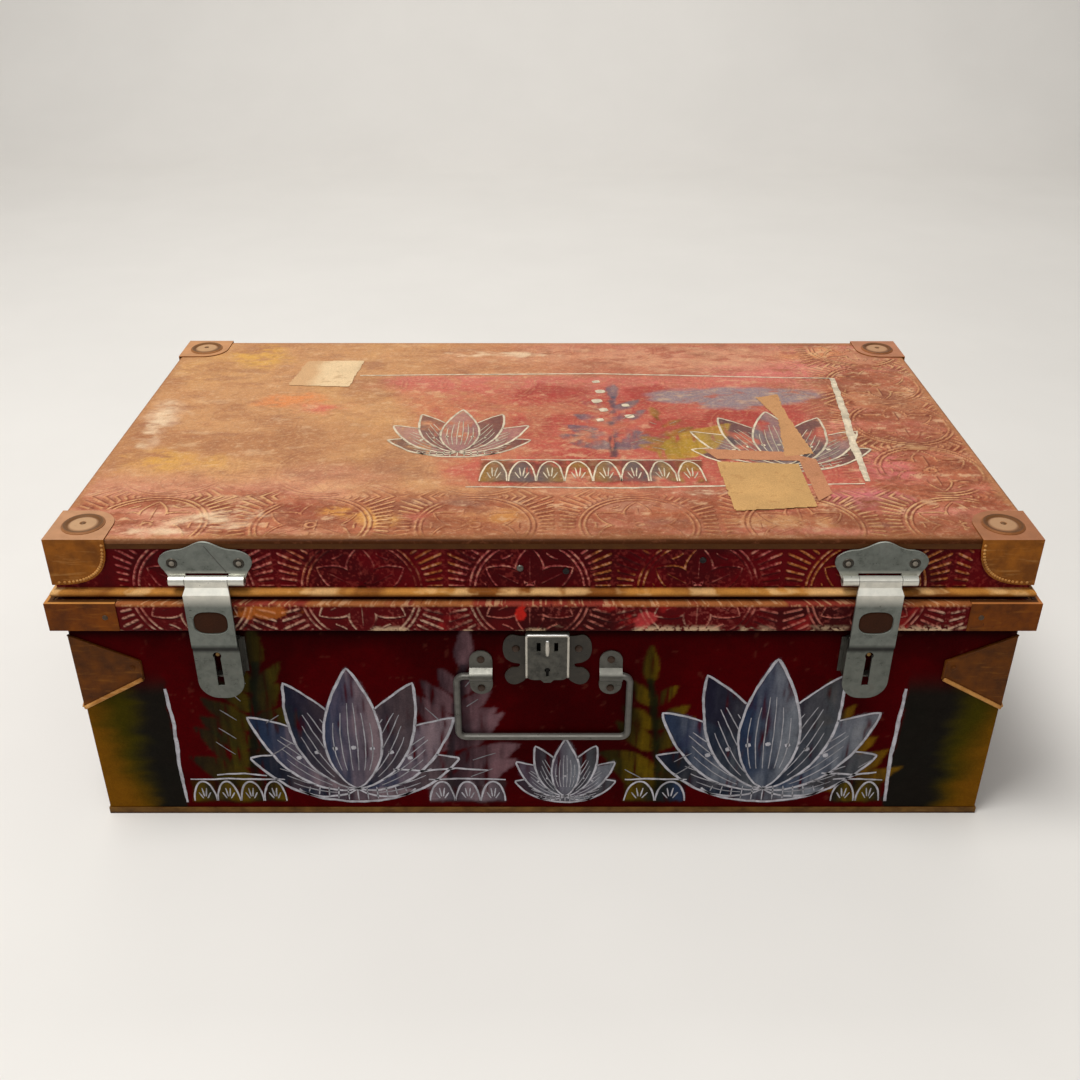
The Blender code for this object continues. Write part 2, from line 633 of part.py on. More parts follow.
# Centre lock
ear_mid = LOCK_TOP - EAR_DROP
lobe_mid = LOCK_TOP - LOBE_DROP
ears = smooth(
    [
        (0, ear_mid + EAR_RISE * 1.1),
        (EAR_HALF * 0.55, ear_mid + EAR_RISE * 0.9),
        (EAR_HALF * 0.80, ear_mid + EAR_RISE),
        (EAR_HALF * 0.95, ear_mid + EAR_RISE * 0.65),
        (EAR_HALF, ear_mid),
        (EAR_HALF * 0.95, ear_mid - EAR_RISE * 0.65),
        (EAR_HALF * 0.80, ear_mid - EAR_RISE),
        (EAR_HALF * 0.62, ear_mid - EAR_RISE * 1.12),
        (EAR_HALF * 0.66, lobe_mid + LOBE_RISE * 1.05),
        (EAR_HALF * 0.80, lobe_mid + LOBE_RISE),
        (EAR_HALF * 0.93, lobe_mid + LOBE_RISE * 0.5),
        (EAR_HALF * 0.96, lobe_mid - LOBE_RISE * 0.1),
        (EAR_HALF * 0.88, lobe_mid - LOBE_RISE * 0.8),
        (EAR_HALF * 0.72, lobe_mid - LOBE_RISE),
        (EAR_HALF * 0.54, lobe_mid - LOBE_RISE * 0.6),
        (EAR_HALF * 0.40, lobe_mid),
        (0, lobe_mid + LOBE_RISE * 0.1),
    ]
)
at = (LOCK_X, 0, 0)
piece("lock_plate", plate(mirrored(ears), BASE_FRONT, LOCK_PLATE_FRONT), ZINC, BASE, at)


def case_side(trim):
    """The right half of the lock case's outline, drawn in by a wall thickness."""
    corner = (LOCK_HALF - LOCK_CORNER, LOCK_BOTTOM + LOCK_CORNER)
    line = [(0, LOCK_TOP - trim), (LOCK_HALF - trim, LOCK_TOP - trim)]
    return line + arc(corner, LOCK_CORNER - trim, 0, -90, 6)


tip = [(2 * LOCK_TIP, LOCK_BOTTOM), (LOCK_TIP, LOCK_BOTTOM - LOCK_TIP), (0, LOCK_BOTTOM - LOCK_TIP)]
case = piece("lock_case", plate(mirrored(case_side(0) + tip), LOCK_BACK, LOCK_FRONT), ZINC, BASE, at)
inside_front = LOCK_FRONT + LOCK_SHEET
hollow = case_side(LOCK_SHEET) + [(0, LOCK_BOTTOM + LOCK_SHEET)]
combine(case, "DIFFERENCE", plate(mirrored(hollow), LOCK_BACK + LOCK_SHEET, inside_front))
slot_z = LOCK_TOP - LOCK_SLOT_DROP
for end in (-1, 1):
    slot_x = end * LOCK_SLOT_X
    low = (slot_x - LOCK_SLOT_HALF_WIDTH, LOCK_FRONT - PLATE, slot_z - LOCK_SLOT_HALF_HEIGHT)
    high = (slot_x + LOCK_SLOT_HALF_WIDTH, inside_front + LOCK_SHEET, slot_z + LOCK_SLOT_HALF_HEIGHT)
    combine(case, "DIFFERENCE", box(low, high))
slit = LOCK_KEY_EYE * 0.45
key_hole = arc((0, LOCK_KEY_Z), LOCK_KEY_EYE, -60, 240)
key_hole += [(-slit, LOCK_KEY_Z - LOCK_KEY_SLIT), (slit, LOCK_KEY_Z - LOCK_KEY_SLIT)]
combine(case, "DIFFERENCE", plate(key_hole, LOCK_FRONT - PLATE, inside_front + LOCK_SHEET))
post = rod(KEY_POST, LOCK_FRONT + GAP, LOCK_BACK, 1, (0, LOCK_KEY_Z))
piece("lock_key_post", post, BRASS, BASE, at)

slide = axis_point("lock_bolt_axis", (LOCK_X, inside_front, slot_z), BASE)
bolt_front = inside_front + GAP
bolt_back = bolt_front + LOCK_BOLT_SHEET
start = -BOLT_TRAVEL / 2
bolt_low = LOCK_KEY_Z - LOCK_CORNER
low = (start - LOCK_BOLT_HALF, bolt_front, bolt_low)
high = (start + LOCK_BOLT_HALF, bolt_back, LOCK_TOP - LOCK_SHEET - GAP)
bolt = piece("lock_bolt", box(low, high), ZINC, slide, at)
window = LOCK_SLOT_HALF_WIDTH + 2 * GAP
for end in (-1, 1):
    slot_x = end * LOCK_SLOT_X
    low = (slot_x - window, bolt_front - PLATE, slot_z - LOCK_SLOT_HALF_HEIGHT - GAP)
    high = (slot_x + window, bolt_back + PLATE, slot_z + LOCK_SLOT_HALF_HEIGHT + GAP)
    combine(bolt, "DIFFERENCE", box(low, high))
guide = KEY_POST + GAP
low = (-guide - BOLT_TRAVEL, bolt_front - PLATE, LOCK_KEY_Z - guide)
combine(bolt, "DIFFERENCE", box(low, (guide, bolt_back + PLATE, LOCK_KEY_Z + guide)))

# Bail handle: one bent wire, its ends turned in through the clips, slid a little to the left in them
at = (HANDLE_X, BAIL_Y, BAIL_Z)
swing = axis_point("handle_axis", at, BASE)
wire_end = CLIP_X - CLIP_HALF + BAIL_WIRE / 2
top_bend = arc((BAIL_HALF - BAIL_BEND, -BAIL_BEND), BAIL_BEND, 90, 0, 6)
low_bend = arc((BAIL_HALF - BAIL_BEND, BAIL_BEND - BAIL_DROP), BAIL_BEND, 0, -90, 6)
bends = top_bend + low_bend
path = [(x - BAIL_SLID, z) for x, z in bends + [(-x, z) for x, z in bends[::-1]]]
path = [(wire_end, 0)] + path + [(-wire_end, 0)]
rings = []
for i, point in enumerate(path):
    before = Vector(point) - Vector(path[max(i - 1, 0)])
    after = Vector(path[min(i + 1, len(path) - 1)]) - Vector(point)
    along = (before.normalized() + after.normalized()).normalized()
    ring = []
    for across, deep in arc((0, 0), BAIL_WIRE, 0, 360 - 360 / BAIL_SIDES, BAIL_SIDES - 1):
        ring.append((point[0] - along.y * across, deep, point[1] + along.x * across))
    rings.append(ring)
piece("handle_bail", loft(rings), WIRE, swing, at)

foot = BASE_FRONT - CLIP_SHEET / 2 - BAIL_Y
lean = math.degrees(math.atan2(CLIP_FOOT, foot) + math.acos(CLIP_BEND / math.hypot(foot, CLIP_FOOT)))
clip_line = [(foot, CLIP_RISE), (foot, CLIP_FOOT)]
clip_line += arc((0, 0), CLIP_BEND, lean, 360 - lean)
clip_line += [(foot, -CLIP_FOOT), (foot, -CLIP_DROP)]
clip_profile = ribbon(clip_line, CLIP_SHEET)
for side, sx in (("left", -1), ("right", 1)):
    at = (HANDLE_X + sx * CLIP_X, BAIL_Y, BAIL_Z)
    wide = CLIP_HALF + PLATE
    clip = piece(f"handle_clip_{side}", bar(clip_profile, [wide] * len(clip_profile)), ZINC, BASE, at)
    reach = CLIP_BEND + 2 * CLIP_SHEET
    combine(clip, "INTERSECT", plate(obround(CLIP_HALF, -CLIP_DROP + GAP, CLIP_RISE - GAP), reach, -reach))

# Hinges
bore = HINGE_PIN + GAP
leaf_back = BASE_Y + GAP - HINGE_Y
skirt_face = SKIRT_Y + GAP - HINGE_Y
leaf_top = -(HINGE_KNUCKLE + 2 * GAP)
web_top = HINGE_KNUCKLE + HINGE_DROP - 2 * GAP
lid_leaf_top = SKIRT_TOP - LEDGE_ROUND - GAP - HINGE_Z
for side, sx in (("left", -1), ("right", 1)):
    at = (sx * HINGE_X, HINGE_Y, HINGE_Z)
    split = HINGE_SPLIT - GAP
    low = (-HINGE_HALF, leaf_back, -LEAF_DROP)
    leaf = piece(
        f"hinge_base_leaf_{side}", box(low, (HINGE_HALF, leaf_back + HINGE_LEAF, leaf_top)), ZINC, BASE, at
    )
    tab = box((-split, leaf_back, leaf_top - HINGE_LEAF), (split, leaf_back + HINGE_LEAF, 0))
    combine(leaf, "UNION", tab)
    combine(leaf, "UNION", rod(HINGE_KNUCKLE, -split, split, 0))
    combine(leaf, "DIFFERENCE", rod(bore, -HINGE_HALF, HINGE_HALF, 0))

    split = HINGE_SPLIT + GAP
    web_low = HINGE_DROP
    low = (-HINGE_HALF, skirt_face, web_low)
    leaf = piece(
        f"hinge_lid_leaf_{side}", box(low, (HINGE_HALF, skirt_face + HINGE_LEAF, lid_leaf_top)), ZINC, LID, at
    )
    for end in (-1, 1):
        near, far = sorted((end * split, end * HINGE_HALF))
        web = box((near, 0, web_low), (far, skirt_face + HINGE_LEAF / 2, web_top))
        combine(leaf, "UNION", web)
        combine(leaf, "UNION", rod(HINGE_KNUCKLE, near, far, 0))
    combine(leaf, "DIFFERENCE", rod(bore, -HINGE_HALF - PLATE, HINGE_HALF + PLATE, 0))
    pin = rod(HINGE_PIN, -HINGE_HALF - GAP, HINGE_HALF + GAP, 0)
    piece(f"hinge_pin_{side}", pin, WIRE, BASE, at)

# Lid stays
rivet = Vector((-math.sqrt(STAY_RADIUS**2 - STAY_RIVET_RISE**2), STAY_RIVET_RISE))
stud = Vector((-math.sqrt(STAY_RADIUS**2 - STAY_STUD_RISE**2), STAY_STUD_RISE))
closed_angle = math.asin(STAY_RIVET_RISE / STAY_RADIUS) - math.asin(STAY_STUD_RISE / STAY_RADIUS)
shut = 2 * STAY_RADIUS * math.sin(closed_angle / 2)
opened = 2 * STAY_RADIUS * math.sin((closed_angle + STAY_OPEN) / 2)
along = (stud - rivet).normalized()
across = Vector((-along.y, along.x))
slot_half = STAY_SHANK + GAP


def on_arm(outline):
    """Arm outline points from (across, along) to (y, z) at the lid rivet."""
    return [tuple(along * t + across * n) for n, t in outline]


arm_outline = on_arm(obround(STAY_HALF, -STAY_HALF, opened + GAP + STAY_HALF))
slot_outline = on_arm(obround(slot_half, shut - GAP - slot_half, opened + GAP + slot_half))
half_sheet = STAY_SHEET / 2
for side, sx in (("left", -1), ("right", 1)):
    at = (sx * STAY_X, HINGE_Y + rivet.x, HINGE_Z + rivet.y)
    swing = axis_point(f"stay_axis_{side}", at, LID)
    arm = piece(f"stay_arm_{side}", bar(arm_outline, [half_sheet] * len(arm_outline)), ZINC, swing, at)
    combine(arm, "DIFFERENCE", rod(slot_half, -STAY_SHEET, STAY_SHEET, 0))
    combine(arm, "DIFFERENCE", bar(slot_outline, [STAY_SHEET] * len(slot_outline)))

    neck = half_sheet + GAP
    inner_wall = WALL_X - SHEET - GAP - STAY_X
    outer_end = BASE_X - SHEET - GAP - STAY_X
    for node, parent, point, reach in (
        (f"stay_rivet_{side}", LID, rivet, inner_wall),
        (f"stay_stud_{side}", BASE, stud, outer_end),
    ):
        profile = [
            (STAY_HEAD, -neck - STAY_HEAD_THICK),
            (STAY_HEAD, -neck),
            (STAY_SHANK, -neck),
            (STAY_SHANK, neck),
            (STAY_HEAD, neck),
            (STAY_HEAD, reach),
        ]
        solid = turned([(r, sx * h) for r, h in profile], 0)
        piece(node, solid, ZINC, parent, (sx * STAY_X, HINGE_Y + point.x, HINGE_Z + point.y))
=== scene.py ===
"""Looks of the painted metal trunk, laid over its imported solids. Metres, +Z up, front towards -Y."""

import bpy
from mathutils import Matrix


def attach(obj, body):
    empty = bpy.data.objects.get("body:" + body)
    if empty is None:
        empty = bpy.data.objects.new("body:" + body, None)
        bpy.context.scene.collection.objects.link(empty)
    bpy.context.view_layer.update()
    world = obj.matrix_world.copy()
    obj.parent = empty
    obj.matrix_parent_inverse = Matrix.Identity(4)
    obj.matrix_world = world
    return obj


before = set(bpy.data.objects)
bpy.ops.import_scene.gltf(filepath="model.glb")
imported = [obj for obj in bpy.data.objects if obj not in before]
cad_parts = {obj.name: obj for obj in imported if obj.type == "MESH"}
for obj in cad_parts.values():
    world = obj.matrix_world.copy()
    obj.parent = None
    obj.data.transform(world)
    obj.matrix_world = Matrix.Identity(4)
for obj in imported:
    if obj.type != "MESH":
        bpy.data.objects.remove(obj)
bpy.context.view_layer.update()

from fnmatch import fnmatch
from functools import partial
from math import cos, pi, radians, sin
from types import SimpleNamespace

import bpy
import numpy as np
from mathutils import Matrix, Vector

MM = 0.001

# The case, in millimetres, as the solids have it
TOP_X, TOP_Y, TOP_Z = 355, 202, 258
FOLD, TOP_ROUND = 7, 2.8
WALL_X, WALL_Y = 353.9, 200.9
BEAD_Z, BEAD_OUT, BEAD_R = 214.4, 1.9, 2.7
LEDGE, LEDGE_ROUND, SKIRT_TOP, SKIRT_LOW = 8, 1.5, 208.5, 185.5
BASE_X, BASE_Y, HEM_TOP, RIM_LOW = 353.6, 200.6, 6, 200
HASP_X, HANDLE_X, LOCK_X, HINGE_X = 242.5, 2, 3, 220
DISC_X, DISC_Y = 333.8, 180.8

# How far the painted skins stand off the solids
SKIN = 0.1

# Each side with the cosine and sine of its turn from the front
SIDES = {"front": (1, 0), "back": (-1, 0), "left": (0, -1), "right": (0, 1)}
CORNERS = ("front_left", "front_right", "back_left", "back_right")

# Sunburst medallions pressed into the lid: spacing across, spacing along the depth, and a known centre
PITCH, ROW = 119.5, 90
TOP_CENTRE = (-50, -180)
WALL_CENTRE = (-10, 216.8)
WALL_PITCH, WALL_ROW = 122, 200


# Noise and colour

def value_noise(x, y, seed):
    cells = np.random.default_rng(seed).random((256, 256))
    xi, yi = np.floor(x).astype(int), np.floor(y).astype(int)
    fx, fy = x - xi, y - yi
    fx, fy = fx * fx * (3 - 2 * fx), fy * fy * (3 - 2 * fy)
    a, b = cells[xi % 256, yi % 256], cells[(xi + 1) % 256, yi % 256]
    c, d = cells[xi % 256, (yi + 1) % 256], cells[(xi + 1) % 256, (yi + 1) % 256]
    return (a * (1 - fx) + b * fx) * (1 - fy) + (c * (1 - fx) + d * fx) * fy


def fbm(x, y, size, seed, octaves=4, gain=0.55):
    """Cloudy noise from 0 to 1 whose largest blotches are about size millimetres."""
    total, weight, amp = 0, 0, 1
    for k in range(octaves):
        scale = 2 ** k / size
        total = total + amp * value_noise(x * scale + 17.3 * k, y * scale - 9.1 * k, seed + k)
        weight += amp
        amp *= gain
    return total / weight


def unit(vectors):
    return vectors / np.maximum(np.linalg.norm(vectors, axis=1), 1e-6)[:, None]


def ease(value, low, high):
    t = np.clip((value - low) / (high - low), 0, 1)
    return t * t * (3 - 2 * t)


def band(value, low, high, soft=1.5):
    return ease(value, low - soft, low + soft) * (1 - ease(value, high - soft, high + soft))


def blob(x, y, cx, cy, rx, ry, seed, rough=0.35, soft=0.35):
    """A ragged-edged patch: 1 inside, fading out."""
    d = np.hypot((x - cx) / rx, (y - cy) / ry)
    return ease(1 - d + rough * (fbm(x, y, min(rx, ry), seed) - 0.5) * 2, 0, soft)


def levels(colour):
    """Red, green and blue from 0 to 255 of a hex colour; a tuple holds them already."""
    return tuple(int(colour[k:k + 2], 16) for k in (0, 2, 4)) if isinstance(colour, str) else colour


def dimmed(colour, share):
    return tuple(share * v for v in levels(colour))


def ink(colour):
    """Linear light of a hex colour or of a tuple from 0 to 255; an array is linear already."""
    if isinstance(colour, np.ndarray):
        return colour
    c = np.array(levels(colour)) / 255
    return np.where(c <= 0.04045, c / 12.92, ((c + 0.055) / 1.055) ** 2.4)


def over(base, *layers):
    """Layers over a base, each given as its colour and a mask that is 1 where it covers."""
    base = ink(base)
    for colour, mask in zip(layers[::2], layers[1::2]):
        base = base + (ink(colour) - base) * np.asarray(mask)[..., None]
    return base


# Meshes

def added(name, data):
    """A new object in the scene."""
    made = bpy.data.objects.new(name, data)
    bpy.context.scene.collection.objects.link(made)
    return made


def mesh_piece(name, points, faces, colours, material, body, slot):
    """One smooth piece from points in mm, with its colours at the points."""
    mesh = bpy.data.meshes.new(name)
    mesh.from_pydata((np.asarray(points) * MM).tolist(), [], [list(map(int, f)) for f in faces])
    paint = mesh.color_attributes.new("paint", "FLOAT_COLOR", "POINT")
    rgba = np.ones((len(points), 4))
    rgba[:, :3] = np.clip(colours, 0, 1)
    paint.data.foreach_set("color", rgba.ravel())
    mesh.materials.append(material)
    mesh.shade_smooth()
    piece = added(name, mesh)
    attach(piece, body)


def grid_faces(rows, columns):
    index = np.arange(rows * columns).reshape(rows, columns)
    return np.stack([index[:-1, :-1], index[1:, :-1], index[1:, 1:], index[:-1, 1:]], -1).reshape(-1, 4)


def grid_piece(name, points, colours, material, body, slot):
    faces = grid_faces(*points.shape[:2])
    mesh_piece(name, points.reshape(-1, 3), faces, colours.reshape(-1, 3), material, body, slot)


def ring_faces(rings, sides):
    """Faces of a round shape whose points come ring after ring, closed at both ends."""
    faces = []
    for i in range(rings - 1):
        low, high = i * sides, (i + 1) * sides
        faces += [(low + j, low + (j + 1) % sides, high + (j + 1) % sides, high + j) for j in range(sides)]
    last = (rings - 1) * sides
    return faces + [tuple(range(sides))[::-1], tuple(range(last, last + sides))]


def lathe(profile, sides=20):
    """A turned shape about +Z from (radius, height) pairs in mm."""
    angles = np.linspace(0, 2 * pi, sides, endpoint=False)
    points = [(r * cos(a), r * sin(a), h) for r, h in profile for a in angles]
    return np.array(points), ring_faces(len(profile), sides)


def set_at(shape, out, at):
    """A turned shape swung so that its +Z runs along out, then moved to a place in mm."""
    turn = Vector((0, 0, 1)).rotation_difference(Vector(out)).to_matrix()
    return shape[0] @ np.array(turn).T + np.asarray(at, float), shape[1]


def tube(path, radius, sides=8):
    """A round bar along a path in mm; radius is one number or one for each point."""
    path = np.asarray(path, float)
    along = unit(np.gradient(path, axis=0))
    side = np.cross(along[0], (0.31, 0.87, 0.37))
    points = []
    for p, d, r in zip(path, along, np.broadcast_to(radius, len(path))):
        side = side - d * np.dot(side, d)
        side /= np.linalg.norm(side)
        up = np.cross(d, side)
        for a in np.linspace(0, 2 * pi, sides, endpoint=False):
            points.append(p + r * (cos(a) * side + sin(a) * up))
    return np.array(points), ring_faces(len(path), sides)


def small_piece(name, shapes, colour, material, body, slot):
    """One piece of one colour from several (points, faces) sets in mm."""
    points = np.concatenate([shape[0] for shape in shapes])
    starts = np.cumsum([0] + [len(shape[0]) for shape in shapes])
    faces = [[start + i for i in face] for shape, start in zip(shapes, starts) for face in shape[1]]
    mesh_piece(name, points, faces, np.tile(ink(colour), (len(points), 1)), material, body, slot)


# Materials

class Graph:
    """A procedural material under construction."""

    def __init__(self, name):
        self.material = bpy.data.materials.new(name)
        self.material.use_nodes = True
        self.tree = self.material.node_tree
        self.shader = self.tree.nodes["Principled BSDF"]
        places = self.node("ShaderNodeTexCoord").outputs
        self.where, self.normal = places["Object"], places["Normal"]

    def node(self, kind, values=None, **settings):
        made = self.tree.nodes.new(kind)
        for key, value in settings.items():
            setattr(made, key, value)
        for key, value in (values or {}).items():
            self.feed(made.inputs[key], value)
        return made

    def feed(self, socket, value):
        if isinstance(value, bpy.types.NodeSocket):
            self.tree.links.new(value, socket)
        else:
            socket.default_value = value

    def noise(self, scale, detail=4, rough=0.6, stretch=None):
        where = self.where
        if stretch:
            where = self.node("ShaderNodeMapping", {"Vector": where, "Scale": stretch}).outputs["Vector"]
        values = {"Vector": where, "Scale": scale, "Detail": detail, "Roughness": rough}
        return self.node("ShaderNodeTexNoise", values).outputs["Fac"]

    def span(self, value, low, high, to_low=0, to_high=1):
        values = {"Value": value, "From Min": low, "From Max": high, "To Min": to_low, "To Max": to_high}
        return self.node("ShaderNodeMapRange", values, clamp=True).outputs["Result"]

    def math(self, operation, a, b=0):
        return self.node("ShaderNodeMath", {0: a, 1: b}, operation=operation).outputs[0]

    def times(self, a, b):
        return self.math("MULTIPLY", a, b)

    def plus(self, a, b):
        return self.math("ADD", a, b)

    def axis(self, letter, vector=None):
        """One coordinate of the place in metres, or of another vector."""
        return self.node("ShaderNodeSeparateXYZ", {"Vector": vector or self.where}).outputs[letter]

    def upward(self, low, high):
        """From 0 to 1 as the surface turns from upright to level."""
        return self.span(self.axis("Z", self.normal), low, high)

    def off(self, letter, limit):
        """How far a place lies beyond a limit in metres, to either side of the middle."""
        return self.math("SUBTRACT", self.math("ABSOLUTE", self.axis(letter)), limit)

    def past(self, x, y):
        return self.math("MAXIMUM", self.off("X", x), self.off("Y", y))

    def mix(self, factor, a, b, blend="MIX"):
        """b over a, each a socket or a colour."""
        made = self.node("ShaderNodeMix", data_type="RGBA", blend_type=blend)
        for key, value in ((0, factor), (6, a), (7, b)):
            self.feed(made.inputs[key], (*ink(value), 1) if isinstance(value, (str, tuple)) else value)
        return made.outputs[2]

    def shaded(self, colour, amount):
        grey = self.node("ShaderNodeCombineColor", {"Red": amount, "Green": amount, "Blue": amount})
        return self.mix(1, colour, grey.outputs["Color"], "MULTIPLY")

    def set(self, **values):
        for key, value in values.items():
            self.feed(self.shader.inputs[key.replace("_", " ")], value)

    def bumped(self, height, distance, strength):
        values = {"Height": height, "Distance": distance, "Strength": strength}
        self.set(Normal=self.node("ShaderNodeBump", values).outputs["Normal"])
        return self.material


def painted(name, chip="281610", chip_from=0.68, rough=(0.38, 0.62), grain=0.4, gloss=0.3,
            chip_scale=330, wear=None, mottle=(0.86, 1.12)):
    """Old paint on sheet metal: the colours of the mesh, with blotches, fine chips and brush grain."""
    g = Graph(name)
    colour = g.node("ShaderNodeAttribute", attribute_name="paint").outputs["Color"]
    blotch, fine, speck = g.noise(90, 5), g.noise(900, 3), g.noise(chip_scale, 6, 0.7)
    colour = g.shaded(colour, g.span(blotch, 0.3, 0.7, *mottle))
    colour = g.shaded(colour, g.span(fine, 0.35, 0.7, 0.86, 1.12))
    chips = g.span(speck, chip_from, chip_from + 0.04, 0, 0.85)
    if wear:
        rub, stain_and_shadow = wear
        dab, drag = g.noise(240, 8, 0.75), g.noise(210, 7, 0.75, stretch=(0.65, 1, 1))
        light = g.span(g.node("ShaderNodeRGBToBW", {"Color": colour}).outputs["Val"], 0.05, 0.16)
        colour = g.mix(g.times(g.span(dab, 0.51, 0.72, 0, 0.45), light), colour, rub)
        colour = g.mix(g.span(drag, 0.53, 0.74, 0, 0.4), colour, stain_and_shadow)
    colour = g.mix(chips, colour, chip)
    g.set(Base_Color=colour, Roughness=g.span(blotch, 0.3, 0.72, *rough), Specular_IOR_Level=gloss)
    height = g.plus(g.times(fine, 0.35), blotch)
    return g.bumped(g.math("SUBTRACT", height, g.times(chips, 0.5)), 0.0005, grain)


def zinc(name, light="7c807a", dark="4c504a", metal=0.6, stain_and_shadow=None, painted_highlight_heights=None, top_highlight_gain=1.75):
    """Dull zinc-plated sheet: faint spangle, handling scratches, grime, and painted highlight on faces turned
    up; stain and glow are heights of painted shadow and highlight.
    """
    g = Graph(name)
    cells = g.node("ShaderNodeTexVoronoi", {"Vector": g.where, "Scale": 260}).outputs["Color"]
    tone = g.node("ShaderNodeSeparateColor", {"Color": cells}).outputs["Red"]
    cloud, fine = g.noise(120, 6, 0.65), g.noise(1400, 2)
    scratch = g.noise(60, 3, 0.6, stretch=(1, 1, 22))
    colour = g.mix(g.span(g.plus(g.times(tone, 0.1), g.times(cloud, 0.95)), 0.25, 0.85), dark, light)
    grime = g.span(cloud, 0.57, 0.74, 0, 0.5)
    colour = g.mix(grime, colour, "3e3428")
    # Darker between two heights, along the strap's lower edge and across the tongue under it: a painted
    # shadow.
    if stain_and_shadow:
        colour = g.mix(g.span(g.axis("Z"), *stain_and_shadow, 0, 0.94), colour, "100e0b")
    # Faces turned up take a lighter tone: a painted highlight.
    lit = tuple(min(255, v) for v in dimmed(light, top_highlight_gain))
    colour = g.mix(g.times(g.upward(0.3, 0.7), g.span(cloud, 0.3, 0.6, 0.9, 0.5)), colour, lit)
    # A lighter tone between two heights, near the knuckles and bends: a painted highlight.
    if painted_highlight_heights:
        worn_and_highlit = g.times(g.span(g.axis("Z"), *painted_highlight_heights), g.span(cloud, 0.3, 0.6, 0.95, 0.7))
        colour = g.mix(worn_and_highlit, colour, "e2ded2")
    g.set(Base_Color=colour, Metallic=g.span(grime, 0, 0.7, metal, 0.25))
    g.set(Roughness=g.span(g.plus(cloud, g.times(scratch, 0.4)), 0.45, 0.95, 0.24, 0.42))
    return g.bumped(g.plus(g.times(scratch, 0.6), g.times(fine, 0.4)), 0.0003, 0.35)


def trim(name, main, deep, pale, top=None, fade=None, bare_within=None, disc=None, bead_shadow_within=None):
    """Enamel on pressed trim: brushed streaks, darkened hollows and worn pale spots; on the wrap strips,
    faces turned up are lighter as painted highlight and darker near the bead as painted shadow.
    """
    g = Graph(name)
    cloud, fine, speck = g.noise(70, 5), g.noise(1000, 3), g.noise(420, 6, 0.7)
    streak = g.noise(40, 4, 0.6, stretch=(1, 1, 7))
    colour = g.mix(g.span(cloud, 0.34, 0.68), deep, main)
    colour = g.mix(g.span(streak, 0.56, 0.8, 0, 0.55), colour, pale)
    # Faces turned up take the top tones: tan paint with worn patches on the caps, a painted highlight on the
    # wrap strips.
    if top:
        behind, aside = g.span(g.axis("Y"), -0.1, 0.1), g.span(g.axis("X"), -0.1, 0.1)
        near, far = [g.mix(aside, left, right) for left, right in top]
        worn_and_highlit = g.mix(g.span(cloud, 0.36, 0.64, 0.25, 0), g.mix(behind, near, far), "603c1e")
        if disc:
            x, y, radius = disc
            across, along = g.off("X", x), g.off("Y", y)
            reach = g.math("SQRT", g.plus(g.times(across, across), g.times(along, along)))
            ring = g.math("ABSOLUTE", g.math("SUBTRACT", reach, radius))
            worn_and_highlit = g.mix(g.span(reach, radius - 0.004, radius, 0.5, 0), worn_and_highlit, "b89a74")
            worn_and_highlit = g.mix(g.span(ring, 0.0012, 0.0034, 0.8, 0), worn_and_highlit, "4a3018")
        if bead_shadow_within:
            # Inside the limits, next to the bead: a painted shadow.
            worn_and_highlit = g.mix(g.span(g.past(*bead_shadow_within), 0, 0.0008, 0.9, 0), worn_and_highlit, "321606")
        colour = g.mix(g.upward(0.6, 0.9), colour, worn_and_highlit)
    if fade:
        low, high, tone = fade
        colour = g.mix(g.span(g.axis("Z"), low, high, 0.85, 0), colour, tone)
    colour = g.mix(g.span(speck, 0.66, 0.71, 0, 0.8), colour, "341e0e")
    if bare_within:
        colour = g.mix(g.math("GREATER_THAN", g.past(*bare_within)), bare_metal(g), colour)
    g.set(Base_Color=colour, Roughness=g.span(cloud, 0.3, 0.7, 0.42, 0.66), Specular_IOR_Level=0.1)
    return g.bumped(g.plus(g.times(fine, 0.4), cloud), 0.0006, 0.4)


def bare_metal(g):
    """Colour of the unpainted inside: dull grey with brown rust."""
    bare = g.mix(g.span(g.noise(40, 6, 0.65), 0.35, 0.66), "686056", "8e887e")
    return g.mix(g.span(g.noise(150, 6, 0.7), 0.6, 0.68, 0, 0.7), bare, "683c22")


def sheet(name, all_red=0):
    """Plain sheet of the case: dark red paint outside, bare dull metal inside unless all of it is red."""
    g = Graph(name)
    outer = g.math("MAXIMUM", g.math("GREATER_THAN", g.past(0.35335, 0.20035)), all_red)
    cloud, fine = g.noise(40, 6, 0.65), g.noise(700, 3)
    red = g.mix(g.span(cloud, 0.35, 0.66), "340204", "500306")
    g.set(Base_Color=g.mix(outer, bare_metal(g), red), Specular_IOR_Level=0.25)
    g.set(Roughness=g.span(cloud, 0.3, 0.7, 0.4, 0.66))
    return g.bumped(g.plus(g.times(fine, 0.4), cloud), 0.0005, 0.35)


RED_EMBOSSED = painted("worn_embossed_paint", chip_from=0.72, gloss=0.05)
TOP_PAINT = painted("worn_top_paint", "703a2a", 0.69, gloss=0.06, chip_scale=420,
                    wear=("deb890", "8e543a"), mottle=(0.93, 1.06))
RED_PLAIN = painted("painted_sheet", "5c2e26", 0.78, rough=(0.34, 0.5), grain=0.2, gloss=0.01, chip_scale=620)
BRUSHED = painted("brush_lines", "462822", 0.74, rough=(0.45, 0.65), grain=0.3)
PLAIN = painted("small_painted_parts", "3c281a", 0.7)
PAPER = painted("old_paper", "96683c", 0.74, rough=(0.7, 0.9), grain=0.3, gloss=0.1, mottle=(0.96, 1.03))
SHEET = sheet("case_sheet")
RED_SHEET = sheet("skirt_sheet", 1)
OCHRE = trim("ochre_trim", "6c3a0a", "462305", "965e1e")
